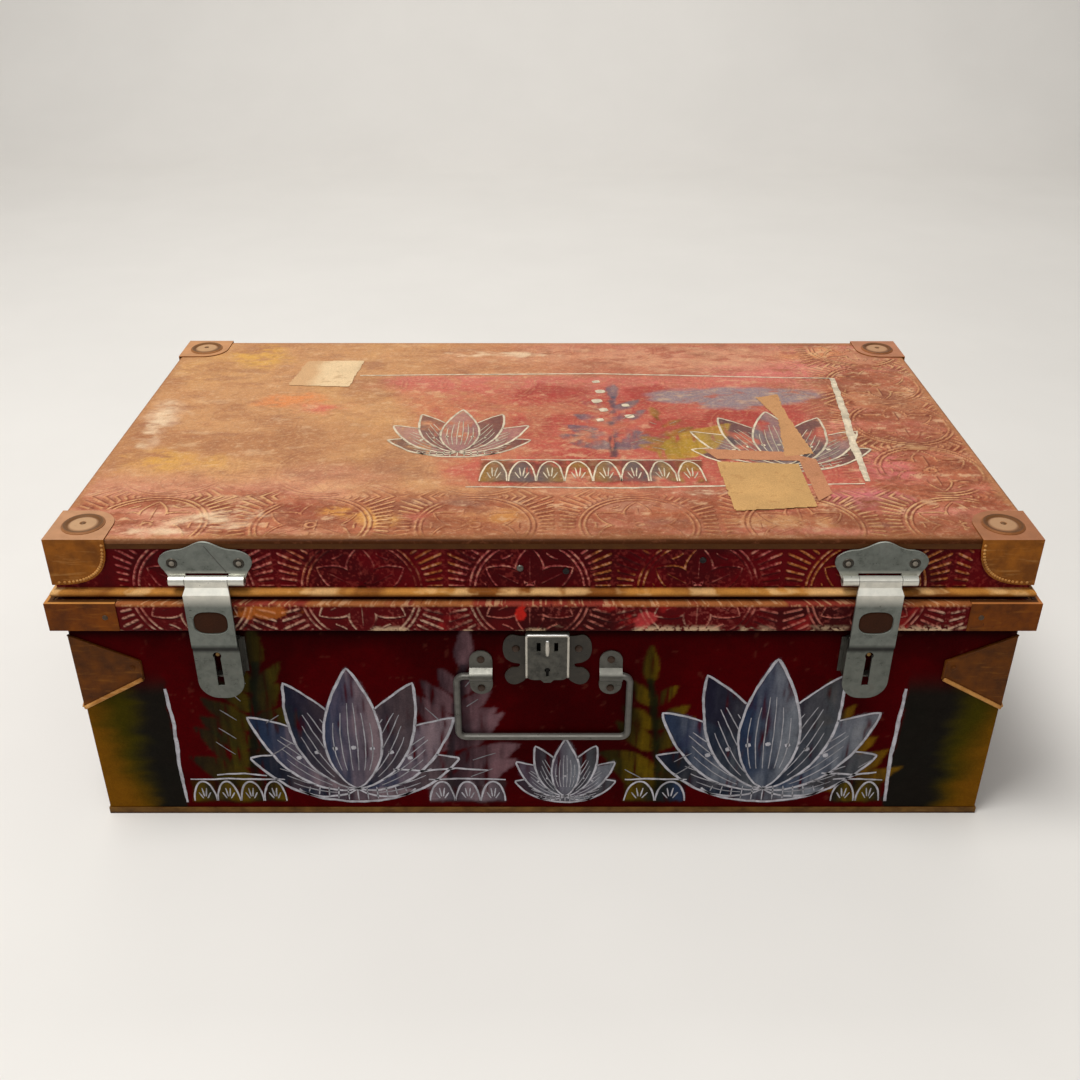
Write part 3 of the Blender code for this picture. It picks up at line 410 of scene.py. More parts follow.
# Wrap strips: faces turned up lighter as a painted highlight, darker next to the bead as a painted shadow.
WRAP = trim("wrap_strips", "7a3e08", "522704", "a4641e",
            top=(("c48644", "b2703c"),) * 2, bead_shadow_within=(0.3601, 0.2071))
RIM = trim("brown_rim", "9e6a32", "7a4a1c", "c4925a",
           fade=(0.2556, 0.2576, "3a1a05"), bare_within=(0.3541, 0.2011))
HEM = trim("worn_hem", "7c5828", "523616", "9e7846",
           fade=(0.0004, 0.0024, "2c140a"), bare_within=(0.353, 0.2))
CAP = trim("tan_caps", "9c5c1a", "703e0e", "c49254",
           top=(("ba8a66", "a46e4e"), ("c48e62", "b87c5c")),
           disc=(DISC_X * MM, DISC_Y * MM, 0.0124))
# Light ochre for rolled guard edges and cap stitches: a painted highlight.
ROLLED_HIGHLIGHT = trim("rolled_edge_highlight", "ce9654", "a06a32", "e8be82")
# Near black on the lock's inner parts: painted shade, so that the keyhole reads dark.
LOCK_SHADE_BLACK = trim("lock_painted_shade", "0e0c0a", "080706", "16130f")
# Plate and strap zinc: a painted highlight near the knuckles and on the strap's top bend.
PLATE = zinc("hasp_plate_zinc", painted_highlight_heights=(0.2345, 0.2285))
# Strap and tongue zinc: a painted shadow along the strap's lower edge and the tongue's top under it.
STRAP = zinc("hasp_strap_zinc", stain_and_shadow=(0.1762, 0.1728), painted_highlight_heights=(0.2085, 0.2185))
TONGUE = zinc("hasp_tongue_zinc", "70736c", "464943", stain_and_shadow=(0.1668, 0.1696))
DARK_ZINC = zinc("dull_zinc", "66655e", "36342f", top_highlight_gain=1.4)
LOCK_ZINC = zinc("lock_zinc", "605e56", "181714", top_highlight_gain=1.5)
# Pale zinc for the lock's rim: worn, and partly a painted highlight.
RUBBED_AND_HIGHLIT = zinc("rubbed_and_highlit_zinc", "d6d0c4", "9e998e")
# Very dark zinc: stained, and darkened further as painted shade on the lock plate under the skirt.
STAINED_AND_SHADED = zinc("stained_and_shaded_zinc", "383229", "1e1a14", metal=0.4)
WIRE = zinc("steel_wire", "72706a", "42403c", top_highlight_gain=1.2)
BRASS = zinc("old_brass", "967642", "543c1e", metal=0.8)


# Pressed medallion pattern, in millimetres

RINGS = ((43.4, 0.95), (39.6, 0.9))
RAYS, RAY_FROM, RAY_TO = 60, 47, 76
LEAF_FROM, LEAF_LONG, LEAF_HALF = 4.5, 31.5, 10


def ridge(d, half):
    return np.exp(-(d / half) ** 2)


def medallions(x, y, centre, pitch, row):
    """Height from 0 to 1 of pressed sunbursts: a double ring round six leaves, with rays outside it."""
    u = (x - centre[0] + pitch / 2) % pitch - pitch / 2
    v = (y - centre[1] + row / 2) % row - row / 2
    r, a = np.hypot(u, v), np.arctan2(v, u)
    rings = [ridge(r - radius, half) for radius, half in RINGS]
    step = 2 * pi / RAYS
    ray = ridge(((a % step) - step / 2) * r, 1.15) * band(r, RAY_FROM, RAY_TO)
    ray = ray * ease(pitch / 2 - np.abs(u), 1, 3) * ease(row / 2 + 8 - np.abs(v), 0.5, 2.5)
    sixth = pi / 3
    b = (a - pi / 2 + sixth / 2) % sixth - sixth / 2
    along, across = r * np.cos(b), np.abs(r * np.sin(b))
    t = np.clip((along - LEAF_FROM) / LEAF_LONG, 0, 1)
    leaf = LEAF_HALF * np.sin(pi * t ** 0.82) ** 0.85
    leaves = ridge(across - leaf, 0.85) * band(along, LEAF_FROM + 0.5, LEAF_FROM + LEAF_LONG + 0.5, 0.8)
    veins = 0.55 * ridge(across, 0.75) * band(along, 9, 27)
    gaps = ridge(r - 34 - 2.5 * np.cos(6 * (a - pi / 2)), 0.85) * (np.abs(b) > 0.38)
    core = ridge(r - 3.6, 1.2)
    return np.maximum.reduce([*rings, ray, leaves, veins, 0.8 * gaps, core])


# Brush painting: washes that colour a sheet, and raised brush lines over it

def inside(x, y, outline):
    """True at the points that a closed outline holds."""
    held = np.zeros(x.shape, bool)
    for (x0, y0), (x1, y1) in zip(outline, np.roll(outline, -1, 0)):
        if y0 != y1:
            held ^= ((y0 > y) != (y1 > y)) & (x < (x1 - x0) * (y - y0) / (y1 - y0) + x0)
    return held


def petal(base, lean, length, half, count=26):
    """Outline of a pointed petal from its base, leaning by an angle from straight up."""
    t = np.linspace(0, 1, count)
    wide = half * np.sin(pi * t ** 0.8) ** 0.85
    axis = np.array([sin(lean), cos(lean)])
    side = np.array([cos(lean), -sin(lean)])
    spine = np.asarray(base) + np.outer(length * t, axis)
    return np.concatenate([spine + wide[:, None] * side, (spine - wide[:, None] * side)[::-1]])


def arc(x, y, wide, tall, angles):
    return [(x + wide * sin(a), y + tall * cos(a)) for a in angles]


def smooth_line(points, step=1.6):
    """An evenly spaced run of points along a polyline."""
    points = np.asarray(points, float)
    length = np.concatenate([[0], np.cumsum(np.linalg.norm(np.diff(points, axis=0), axis=1))])
    at = np.linspace(0, length[-1], max(3, int(length[-1] / step) + 1))
    return np.stack([np.interp(at, length, points[:, k]) for k in range(2)], -1)


# Offsets in mm that soften a wash's edge, then a lotus's petals from the front one back, each with its
# lean in degrees and its share of the length, and which of them are lighter
SPREAD = 1.1 * np.array([(0, 0), (1, 0.3), (-0.3, 1), (-1, -0.3), (0.3, -1)])
LOTUS = ((0, 1), (25, 0.97), (-25, 0.97), (48, 0.9), (-48, 0.9), (69, 0.74), (-69, 0.74))
LIT_PETALS = (0, 3, 4)


class Painting:
    """A generic garden design: lotus flowers, leaf sprays and a scalloped border."""

    def __init__(self, seed, pale):
        self.rng = np.random.default_rng(seed)
        self.seed, self.pale = seed, ink(pale)
        self.fills, self.lines = [], []

    def fill(self, outline, near, far, strength=0.9):
        self.fills.append((np.asarray(outline, float), ink(near), ink(far), strength))

    def line(self, points, width, tone=1):
        self.lines.append((smooth_line(points), width, tone * self.rng.uniform(0.82, 1)))

    def dot(self, x, y, r):
        self.line([(x - r, y - 0.3 * r), (x, y), (x + r, y + 0.3 * r)], 2.1 * r)

    def behind(self, points, width, tone, fronts):
        """The parts of a line that no outline in front of it covers."""
        points = smooth_line(points)
        shown = np.ones(len(points), bool)
        for outline in fronts:
            shown &= ~inside(points[:, 0], points[:, 1], outline)
        edges = np.flatnonzero(np.diff(np.concatenate([[0], shown.astype(int), [0]])))
        for start, end in zip(edges[::2], edges[1::2]):
            if end - start > 3:
                self.line(points[start:end], width, tone)

    def lotus(self, x, y, tall, near, far, stroke=2.6):
        petals = [petal((x, y + 0.1 * tall), radians(a), 0.9 * tall * k, 0.17 * tall * k ** 0.5)
                  for a, k in LOTUS]
        dark = dimmed(near, 0.62), dimmed(far, 0.62)
        for k in reversed(range(len(petals))):
            self.fill(petals[k], *((near, far) if k in LIT_PETALS else dark))
        for k, outline in enumerate(petals):
            self.behind(outline, stroke, 1, petals[:k])
            mid = len(outline) // 2
            for share in (0.68, 0.42, 0.14, -0.14, -0.42, -0.68):
                rib = 0.5 * (1 + share) * outline[:mid] + 0.5 * (1 - share) * outline[::-1][:mid]
                self.behind(rib[4:int(mid * (0.8 - 0.3 * abs(share)))], 0.42 * stroke, 0.75, petals[:k])
        bowl = arc(x, y + 0.13 * tall, 0.36 * tall, -0.13 * tall, np.linspace(-1.35, 1.35, 20))
        self.fill(bowl, dark[0], far)
        self.line(bowl, stroke)
        for t in np.linspace(-0.9, 0.9, 11):
            foot = (x + 0.33 * tall * t, y + 0.13 * tall * (1 - cos(1.2 * t)) + 0.01 * tall)
            self.line([foot, (foot[0] * 0.96 + x * 0.04, y + 0.115 * tall)], 0.5 * stroke, 0.85)
        for t in np.linspace(-1, 1, 7):
            self.dot(x + 0.33 * tall * t, y + (0.42 - 0.08 * t * t) * tall, 0.014 * tall)

    def spray(self, x, y, tall, bend, near, far, leaves=5):
        t = np.linspace(0, 1, 24)
        stem = np.stack([x + bend * t ** 1.7, y + tall * t], -1)
        for k in range(leaves):
            at = stem[int(3 + 19 * k / leaves)]
            size = tall * (0.46 - 0.26 * k / leaves)
            for lean in (62 - 5 * k, -62 + 5 * k):
                turn = radians(lean + self.rng.uniform(-9, 9)) + 0.6 * bend / tall
                leaf = petal(at, turn, size * self.rng.uniform(0.85, 1.1), 0.2 * size)
                self.fill(leaf, near, far, 0.85)
                if self.rng.random() < 0.45:
                    half = len(leaf) // 2
                    vein = 0.5 * (leaf[:half] + leaf[::-1][:half])
                    self.line(vein[8:17], 0.9, 0.5)
        self.fill(petal(stem[-2], 0.6 * bend / tall, 0.3 * tall, 0.05 * tall), near, far, 0.85)
        side = np.array([0.022 * tall, 0])
        self.fill(np.concatenate([stem - side, (stem + side)[::-1]]), dimmed(near, 0.6), near, 0.9)

    def scallops(self, left, right, low, high, tones, wide=25, stroke=1.7):
        count = max(1, round((right - left) / wide))
        wide, tall = (right - left) / count, high - low
        self.line([(left, high + 2.2), ((left + right) / 2, high + 3), (right, high + 2)], stroke)
        for k in range(count):
            start, end, tone = left + k * wide, left + (k + 1) * wide, tones[k % len(tones)]
            x = left + (k + 0.5) * wide
            edge = [(start, low), (start, high + 2), (end, high + 2), (end, low)]
            self.fill(edge, dimmed(tone, 0.5), dimmed(tone, 0.4), 0.7)
            arch = arc(x, low, 0.48 * wide, tall, np.linspace(-1.5, 1.5, 18))
            self.fill(arch, tone, tones[(k + 1) % len(tones)])
            self.line(arch, stroke)
            for a in (-0.85, -0.3, 0.3, 0.85):
                tip = arc(x, low, 0.33 * wide, 0.72 * tall, [a])
                self.line(arc(x, low, 0.12 * wide, 0.3 * tall, [a]) + tip, 0.7 * stroke, 0.9)

    def wash(self, colour, x, y, worn=1):
        """The washes over a sheet's colours, with ragged edges and brush streaks; worn thins them."""
        colour = np.array(colour)
        wave_x, wave_y = fbm(x, y, 10, self.seed, 3) - 0.5, fbm(x, y, 10, self.seed + 7, 3) - 0.5
        streaks = fbm(x * 2.2, y * 0.3, 9, self.seed + 14, 3)
        for outline, near, far, strength in self.fills:
            low, high = outline.min(0) - 5, outline.max(0) + 5
            here = (x > low[0]) & (x < high[0]) & (y > low[1]) & (y < high[1])
            streak = streaks[here]
            qx, qy = x[here] + 4 * wave_x[here], y[here] + 4 * wave_y[here]
            held = np.mean([inside(qx + dx, qy + dy, outline) for dx, dy in SPREAD], axis=0)
            t = ease((x[here] - low[0]) / (high[0] - low[0]) + 0.5 * (streak - 0.5), 0.1, 0.9)
            tone = over(near, far, t) * (0.7 + 0.6 * streak)[:, None]
            cover = held * strength * ease(streak, 0.12, 0.36) * np.broadcast_to(worn, x.shape)[here]
            colour[here] = over(colour[here], tone, cover)
        return colour

    def strokes(self, name, place, body, slot):
        """The brush lines as one thin raised piece; place turns flat points in mm into points in space."""
        points, faces, colours = [], [], []
        start = 0
        for path, width, tone in self.lines:
            n = len(path)
            t = np.linspace(0, 1, n)
            ahead = unit(np.gradient(path, axis=0))
            side = np.stack([-ahead[:, 1], ahead[:, 0]], -1)
            rough = fbm(path[:, 0], path[:, 1], 5, self.seed + 21, 3)
            shift = 0.9 * (fbm(path[:, 0], path[:, 1], 12, self.seed + 28, 2) - 0.5)
            half = 0.5 * width * (0.45 + 0.55 * np.sin(pi * np.clip(0.06 + 0.9 * t, 0, 1)) ** 0.5)
            reach = side * (half * (0.7 + 0.6 * rough))[:, None]
            middle = path + side * shift[:, None] * min(width, 1.5)
            rows = np.stack([middle - reach, middle, middle + reach], 1)
            points.append(place(rows[..., 0].ravel(), rows[..., 1].ravel()))
            faces += (grid_faces(n, 3) + start).tolist()
            start += 3 * n
            shade = tone * (0.7 + 0.3 * ease(fbm(rows[..., 0], rows[..., 1], 4, self.seed + 35, 3), 0.3, 0.6))
            colours.append((shade * [0.84, 1, 0.88]).reshape(-1, 1) * self.pale)
        mesh_piece(name, np.concatenate(points), faces, np.concatenate(colours), BRUSHED, body, slot)


# Lid top

# Height of the pressed lines, and where the finer front grid ends
TOP_PRESS = 0.6
TOP_SPLIT = -112

# Patches of worn paint: centre and half sizes, then colour and strength where each has its own
PATCHES = (
    (-280, 160, 66, 34, "d29e4c", 0.9), (-300, -76, 46, 26, "d09a4a", 0.85),
    (-228, 54, 42, 20, "d6844e", 0.9), (-194, 34, 40, 22, "ce6856", 0.9),
    (-332, 4, 20, 70, "d8b696", 0.7), (-120, 90, 54, 28, "c6725e", 0.6),
    (-112, -75, 50, 30, "96664c", 0.65), (-60, -146, 50, 17, "8c6250", 0.75),
    (-160, -30, 100, 42, "a6724c", 0.6), (277, -85, 40, 34, "d0706e", 0.65),
    (99, -176, 34, 12, "805448", 0.8), (60, -150, 56, 12, "b08068", 0.55),
    (120, 158, 250, 40, "d09674", 0.75), (330, 20, 16, 120, "a06a4a", 0.6),
    (233, 118, 74, 36, "d67870", 0.7), (304, 60, 46, 44, "c88a62", 0.6),
    (320, -10, 32, 52, "a25642", 0.7), (271, 166, 44, 20, "d08656", 0.7),
    (-175, -156, 32, 19, "883c2c", 0.9), (-145, -160, 28, 13, "d09248", 0.9),
    (-118, -170, 26, 13, "d29850", 0.9), (-96, -164, 24, 15, "c45c52", 0.85),
    (-32, -168, 38, 14, "cc8e4c", 0.85), (30, -170, 40, 16, "924832", 0.8),
    (244, -137, 36, 20, "d06e7a", 0.8), (172, -172, 52, 16, "c89664", 0.8),
    (252, -180, 20, 10, "7a4e46", 0.8), (-232, -140, 40, 9, "dab086", 0.6),
    (-160, -120, 44, 9, "d09e72", 0.6),
)
DEEP_RED = ((114, -8, 40, 26), (98, 70, 34, 22), (20, 74, 40, 20), (166, 14, 34, 20))
RUBBED_PALE = ((-244, -175, 38, 17), (-276, -190, 34, 9), (-222, -162, 22, 8), (-332, 8, 9, 60),
               (122, -128, 36, 5), (-40, 168, 70, 9))


def top_edge(x, y):
    """Distance in mm in from the nearest edge of the lid top."""
    return np.minimum(TOP_X - np.abs(x), TOP_Y - np.abs(y))


def top_pattern(x, y):
    return medallions(x, y, TOP_CENTRE, PITCH, ROW)


def top_press(x, y):
    """Full height in mm of the pressed lines over the lid top, strong along its front and right."""
    worn = 0.3 + 0.7 * np.maximum(ease(-y, 118, 150), ease(x, 225, 275))
    corner = ease(np.abs(x), TOP_X - 50, TOP_X - 46) * ease(np.abs(y), TOP_Y - 50, TOP_Y - 46)
    calm = ease(top_edge(x, y), 5, 9) * (1 - corner)
    return TOP_PRESS * worn * calm


def top_relief(x, y):
    return top_press(x, y) * top_pattern(x, y)


def top_fields(x, y):
    """Noises that the layers of paint on the lid top share, and where its pressed lines are strong."""
    n = SimpleNamespace(patch=fbm(x, y, 120, 11), cloud=fbm(x * 0.6, y, 45, 21), mottle=fbm(x, y, 20, 27),
                        fine=fbm(x, y, 6, 31), streak=fbm(x * 0.3, y, 16, 41),
                        drag=fbm(x * 0.4, y, 9, 47, 5, 0.7))
    n.strong = np.maximum(ease(-y + 30 * (n.cloud - 0.5), 112, 146), ease(x, 225, 270))
    return n


def top_ground(x, y, n):
    """Tan to the left, red-brown to the right, pink and brick towards the front."""
    left = over("c28e60", "ae7952", ease(n.cloud, 0.4, 0.62),
                "ce9c62", 0.6 * ease(n.patch, 0.48, 0.7))
    right = over("b66852", "c67a66", ease(n.cloud, 0.42, 0.64),
                 "a05a44", 0.6 * ease(n.mottle, 0.5, 0.68))
    pink = ease(-y + 60 * (n.cloud - 0.5), 70, 140) * (1 - ease(x + 80 * (n.mottle - 0.5), -190, -90))
    brick = over("a65e40", "8c4a30", ease(n.mottle, 0.42, 0.62))
    return over(left, right, ease(x + 170 * (n.patch - 0.5) + 70 * (n.mottle - 0.5), -150, 130),
                "ca8670", 0.7 * pink, brick, 0.85 * n.strong * ease(n.streak, 0.28, 0.52))


def top_patches(colour, x, y, n):
    for cx, cy, rx, ry, tone, most in PATCHES:
        patchy = blob(x, y, cx, cy, rx, ry, cx % 97, 0.7, 0.8) * ease(n.drag, 0.24, 0.54)
        colour = over(colour, tone, most * patchy)
    return over(colour, "94624a", 0.45 * ease(n.streak, 0.58, 0.72) * ease(n.mottle, 0.4, 0.6))


def red_field(colour, x, y, n):
    """The flaked red panel right of the middle, with a grey smear, and small chips over the whole top."""
    rag = 34 * (fbm(x, y, 46, 71) - 0.5)
    panel = band(x + rag + 0.28 * (y + 120), -76, 268 + 0.04 * y, 16) * band(y + 0.4 * rag, -118, 111, 6)
    red = over("b8584a", "aa423a", ease(n.cloud, 0.4, 0.6),
               "d07a6c", 0.6 * ease(y + 60 * (n.mottle - 0.5), 40, 110))
    flaked = 0.55 + 0.45 * ease(fbm(x, y, 30, 81) + 0.0008 * (x - 60), 0.3, 0.5)
    colour = over(colour, red, 0.9 * panel * flaked * (1 - 0.5 * ease(n.fine + 0.5 * n.mottle, 0.86, 0.98)))
    for cx, cy, rx, ry in DEEP_RED:
        colour = over(colour, "9e3630", 0.7 * blob(x, y, cx, cy, rx, ry, 130 + cx, 0.7))
    smear, grain = blob(x * 0.45, y, 82, 62, 40, 26, 91, 0.6), n.drag + 0.4 * n.fine
    return over(colour, "868084", 0.85 * smear * ease(n.drag, 0.26, 0.46),
                "e0b88e", (0.35 + 0.2 * n.strong) * ease(grain, 0.82, 0.98),
                "844630", (0.22 + 0.4 * n.strong) * (1 - ease(grain, 0.5, 0.66)))


def top_pressed_lines(colour, x, y, n):
    """Rubbed bright on the pressed lines with painted shade beside them, then pale bare spots."""
    lines = top_pattern(x, y)
    beside = np.maximum(top_pattern(x, y - 1.5), top_pattern(x - 1.1, y + 0.9))
    shown = (0.22 + 0.78 * n.strong) * ease(fbm(x, y, 24, 61), 0.3, 0.5)
    shown = shown * ease(top_relief(x, y) / TOP_PRESS, 0, 0.02)
    bright = over("d09468", "d8aa76", ease(n.cloud, 0.42, 0.6))
    # Darker on one side of each pressed line: a painted shade.
    colour = over(colour, "703022", 0.85 * ease(beside - lines, 0.08, 0.5) * shown,
                  bright, 0.8 * ease(lines, 0.25, 0.75) * shown * (0.4 + 0.6 * ease(n.fine, 0.34, 0.52)))
    for cx, cy, rx, ry in RUBBED_PALE:
        spot = blob(x, y, cx, cy, rx, ry, 300 + cx % 53, 0.8, 0.8)
        colour = over(colour, "e4c8a4", 0.75 * spot * ease(n.drag, 0.3, 0.58))
    return colour


def top_edges(colour, x, y, n):
    edge, front = top_edge(x, y), TOP_Y + y
    fold = 0.95 * (1 - ease(front + 1.6 * (n.drag - 0.5), 0.9, 3.4)) * (0.5 + 0.5 * ease(x, -300, -190))
    return over(colour, "b07a50", 0.7 * (1 - ease(edge + 10 * (n.fine - 0.5), 3, 11)),
                "8c5436", 0.42 * (1 - ease(front + 24 * (n.cloud - 0.5), 18, 56)) * ease(x, -120, -20),
                "744628", 0.8 * (1 - ease(front + 10 * (n.drag - 0.5), 3, 13)) * ease(x, -262, -190),
                "6e4222", 0.6 * (1 - ease(edge, 0.6, 3)), "3e1c06", fold)


def top_colours(x, y):
    n = top_fields(x, y)
    colour = top_ground(x, y, n)
    for layer in (top_patches, red_field, top_pressed_lines, top_edges):
        colour = layer(colour, x, y, n)
    return colour


def fall(edge):
    """Drop in mm of the lid top's rounded edge, at a distance in from the edge."""
    lean = np.clip((TOP_ROUND - edge) / (TOP_ROUND + SKIN), 0, 1)
    return (TOP_ROUND + SKIN) * (1 - np.sqrt(1 - lean * lean))


def on_top(lift, height, x, y):
    """Points over the lid top, a lift and a height above its skin."""
    down = np.minimum(fall(TOP_X - np.abs(x)) + fall(TOP_Y - np.abs(y)), TOP_ROUND + SKIN)
    return np.stack([x, y, TOP_Z + SKIN + lift + height(x, y) - down], -1)


def top_lines(half, low, high, step):
    """Grid lines across the lid top, closer together over its rounded edges."""
    bend = (TOP_ROUND + SKIN) * np.sin(np.radians([90, 70, 50, 30, 10])) - TOP_ROUND
    count = int((min(high, half) - max(low, -half)) / step)
    inner = np.linspace(max(low, 3.5 - half), min(high, half - 3.5), count)
    return np.concatenate([-half - bend if low <= -half else [], inner,
                           (half + bend)[::-1] if high >= half else []])


def top_picture():
    art = Painting(900, "e8d6b8")
    art.lotus(-70, -66, 96, "ac8076", "966864", 2)
    art.lotus(196, -92, 118, "706a6c", "927470", 2)
    art.spray(58, -66, 128, 6, "545462", "6e686a", 4)
    art.spray(112, -68, 84, -14, "a07022", "745c2c", 4)
    art.fill(petal((96, -70), 0.75, 96, 20), "a08028", "b08a2e", 0.85)
    tones = ("967030", "6a6058", "5c5456", "947438")
    art.scallops(-50, 128, -112, -74, tones, 22, 1.6)
    art.line([(-172, 111), (-60, 114), (54, 116), (160, 110), (270, 104)], 2.4)
    art.line([(272, 104), (266, 30), (258, -40), (253, -110)], 6.6)
    art.line([(-60, -119), (60, -121), (150, -117), (250, -114)], 2.2)
    for x, y, r in ((50, 96, 3.4), (53, 72, 4.2), (49, 50, 4.4), (54, 30, 3.6), (74, 40, 3.2),
                    (76, 16, 3.8), (50, 8, 3)):
        art.dot(x, y, r)
    return art


TOP_ART = top_picture()
for part, low, high, step_x, step_y in (("front", -TOP_Y, TOP_SPLIT, 0.8, 1),
                                        ("back", TOP_SPLIT, TOP_Y, 1.36, 1.76)):
    columns, rows = top_lines(TOP_X, -TOP_X, TOP_X, step_x), top_lines(TOP_Y, low, high, step_y)
    X, Y = np.meshgrid(columns, rows, indexing="ij")
    tones = TOP_ART.wash(top_colours(X, Y), X, Y, 0.9 * ease(fbm(X, Y, 24, 95), 0.28, 0.5))
    points = on_top(0, top_relief, X, Y)
    grid_piece(f"lid_top_emboss_{part}", points, tones, TOP_PAINT, "lid", "embossed_red_paint")
TOP_ART.strokes("lid_top_brush_lines", partial(on_top, 0.08, top_press), "lid", "embossed_red_paint")


# Lid sides: the wall with its rolled bead, and the skirt below it

def spans(side, x, y):
    """Half the length of a side and its distance from the middle, from the box's halves."""
    return (x, y) if SIDES[side][0] else (y, x)


def turned(side, along, out, high):
    """Points of one side from places along it, out from the middle and up, in mm."""
    c, s = SIDES[side]
    return np.stack([c * along + s * out, s * along - c * out, high], -1)


def swept(name, side, half, depth, profile, step, relief, colours):
    """A pressed band along one side. profile: (outward offset, height) pairs from the wall plane, in mm."""
    profile = np.asarray(profile, float)
    down = unit(np.gradient(profile, axis=0))
    lift = np.stack([-down[:, 1], down[:, 0]], -1)
    along = np.linspace(-half, half, int(2 * half / step) + 1)
    A, K = np.meshgrid(along, np.arange(len(profile)), indexing="ij")
    height = profile[K, 1]
    rise = relief(A, height)
    out = profile[K, 0] + rise * lift[K, 0]
    points = turned(side, A * (1 + out / half), depth + out, height + rise * lift[K, 1])
    shadow = relief(A, height + 0.9) - rise
    tones = colours(A, height, rise, shadow)
    grid_piece(name, points, tones, RED_EMBOSSED, "lid", "embossed_red_paint")


def wall_profile(step):
    flat = [(SKIN, z) for z in np.arange(TOP_Z - FOLD + 0.6, BEAD_Z + BEAD_R + 0.9, -step)]
    angles = np.linspace(radians(118), radians(-80), 14)
    r = BEAD_R + SKIN
    return flat + [(BEAD_OUT + r * cos(a), BEAD_Z + r * sin(a)) for a in angles]


def skirt_profile(step):
    ledge = [(out, SKIRT_TOP + SKIN) for out in np.linspace(-6.6, -LEDGE_ROUND, 6)]
    r = LEDGE_ROUND + SKIN
    bend = arc(-LEDGE_ROUND, SKIRT_TOP - LEDGE_ROUND, r, r, np.linspace(0.2, pi / 2, 6))
    face = [(SKIN, z) for z in np.arange(SKIRT_TOP - LEDGE_ROUND - 0.9, SKIRT_LOW + 0.5, -step)]
    return ledge + bend + face + [(0, SKIRT_LOW - 0.1), (-0.9, SKIRT_LOW - 0.1)]


def pressed(half, low, high, soft, tall, hinged, a, z):
    """Height in mm of a side's pattern, pressed between two heights and kept off corners and hinges."""
    calm = tall * band(z, low, high, soft) * ease(half - np.abs(a), 44, 48)
    if hinged:
        calm = calm * ease(np.abs(np.abs(a) - HINGE_X), 26.5, 28.5)
    return calm * medallions(a, z, WALL_CENTRE, WALL_PITCH, WALL_ROW)


def wall_colours(seed, a, z, rise, shadow):
    noise = partial(fbm, a, z)
    cloud, fine, zone = noise(40, seed), noise(1.9, seed + 10, 2), fbm(a, z * 0.4, 70, seed + 20)
    worn = over("b45854", "ae6a34", ease(zone, 0.44, 0.56),
                "dea88c", 0.5 * ease(fine, 0.56, 0.7))
    crest = ease(rise, 0.24, 0.6) * ease(noise(20, seed + 30), 0.28, 0.5)
    crest = crest * (0.35 + 0.65 * ease(fine, 0.3, 0.5))
    # The bead's ochre darkens over its lower half: a painted shade.
    ochre = over("b87c38", "804a1c", ease(cloud, 0.42, 0.64),
                 "e2b478", 0.7 * ease(fbm(a * 0.4, z, 9, seed + 40), 0.52, 0.66),
                 "542a0c", 0.8 * (1 - ease(z, BEAD_Z - 1.8, BEAD_Z + 1.4)))
    return over("5a0108", "440005", ease(cloud, 0.4, 0.66),
                "9e3c34", 0.28 * ease(fine, 0.54, 0.72) * ease(noise(30, seed + 15), 0.4, 0.6),
                "220004", 0.7 * ease(shadow, 0.1, 0.5), worn, 0.82 * crest,
                ochre, 1 - ease(z, BEAD_Z + 2.9, BEAD_Z + 3.8))


def skirt_colours(seed, side, a, z, rise, shadow):
    noise = partial(fbm, a, z)
    cloud, fine, zone = noise(36, seed + 50), noise(1.9, seed + 60, 2), fbm(a, z * 0.5, 80, seed + 70)
    worn = over("c49e86", "b66a5c", ease(zone, 0.46, 0.6))
    crest = ease(rise, 0.2, 0.52) * ease(noise(16, seed + 80), 0.28, 0.5)
    crest = crest * (0.3 + 0.7 * ease(fine, 0.32, 0.52))
    colour = over("540509", "3a0406", ease(cloud, 0.42, 0.64),
                  "aa544a", 0.34 * ease(fine, 0.54, 0.72) * ease(noise(30, seed + 55), 0.38, 0.58),
                  "aa2222", 0.6 * ease(noise(24, seed + 75), 0.6, 0.74),
                  "1e0004", 0.75 * ease(shadow, 0.1, 0.5), worn, 0.85 * crest)
    runs = 0.3 * (fbm(a, 0 * z, 90, seed + 95) - 0.5)
    chipped = ease(fbm(a * 0.6, z, 16, seed + 90) + runs, 0.5, 0.6)
    if side == "front":
        more = band(a, 70, 165, 8) * ease(fbm(a, z * 1.6, 20, seed + 97), 0.42, 0.54)
        chipped = np.maximum(chipped, more)
        colour = over(colour, "c4241a", 0.85 * blob(a, z, -16.5, 201, 4.5, 9, 77, 0.4),
                      "ce4646", 0.6 * blob(a, z, 74, 195, 9, 10, 79, 0.6),
                      "c86e28", 0.6 * blob(a, z, -202, 202, 22, 7, 83, 0.6))
    low, ledge = 1 - ease(z, SKIRT_LOW + 1, SKIRT_LOW + 6), ease(z, SKIRT_TOP - 3, SKIRT_TOP - 1.2)
    ochre = over("9c5e34", "883428", ease(cloud, 0.44, 0.6),
                 "cea076", 0.6 * ease(fine, 0.56, 0.7))
    return over(colour, "dcbc98", 0.75 * low * chipped * ease(fine, 0.26, 0.46),
                ochre, 0.9 * ledge * ease(fine + 0.3 * ledge, 0.3, 0.6))


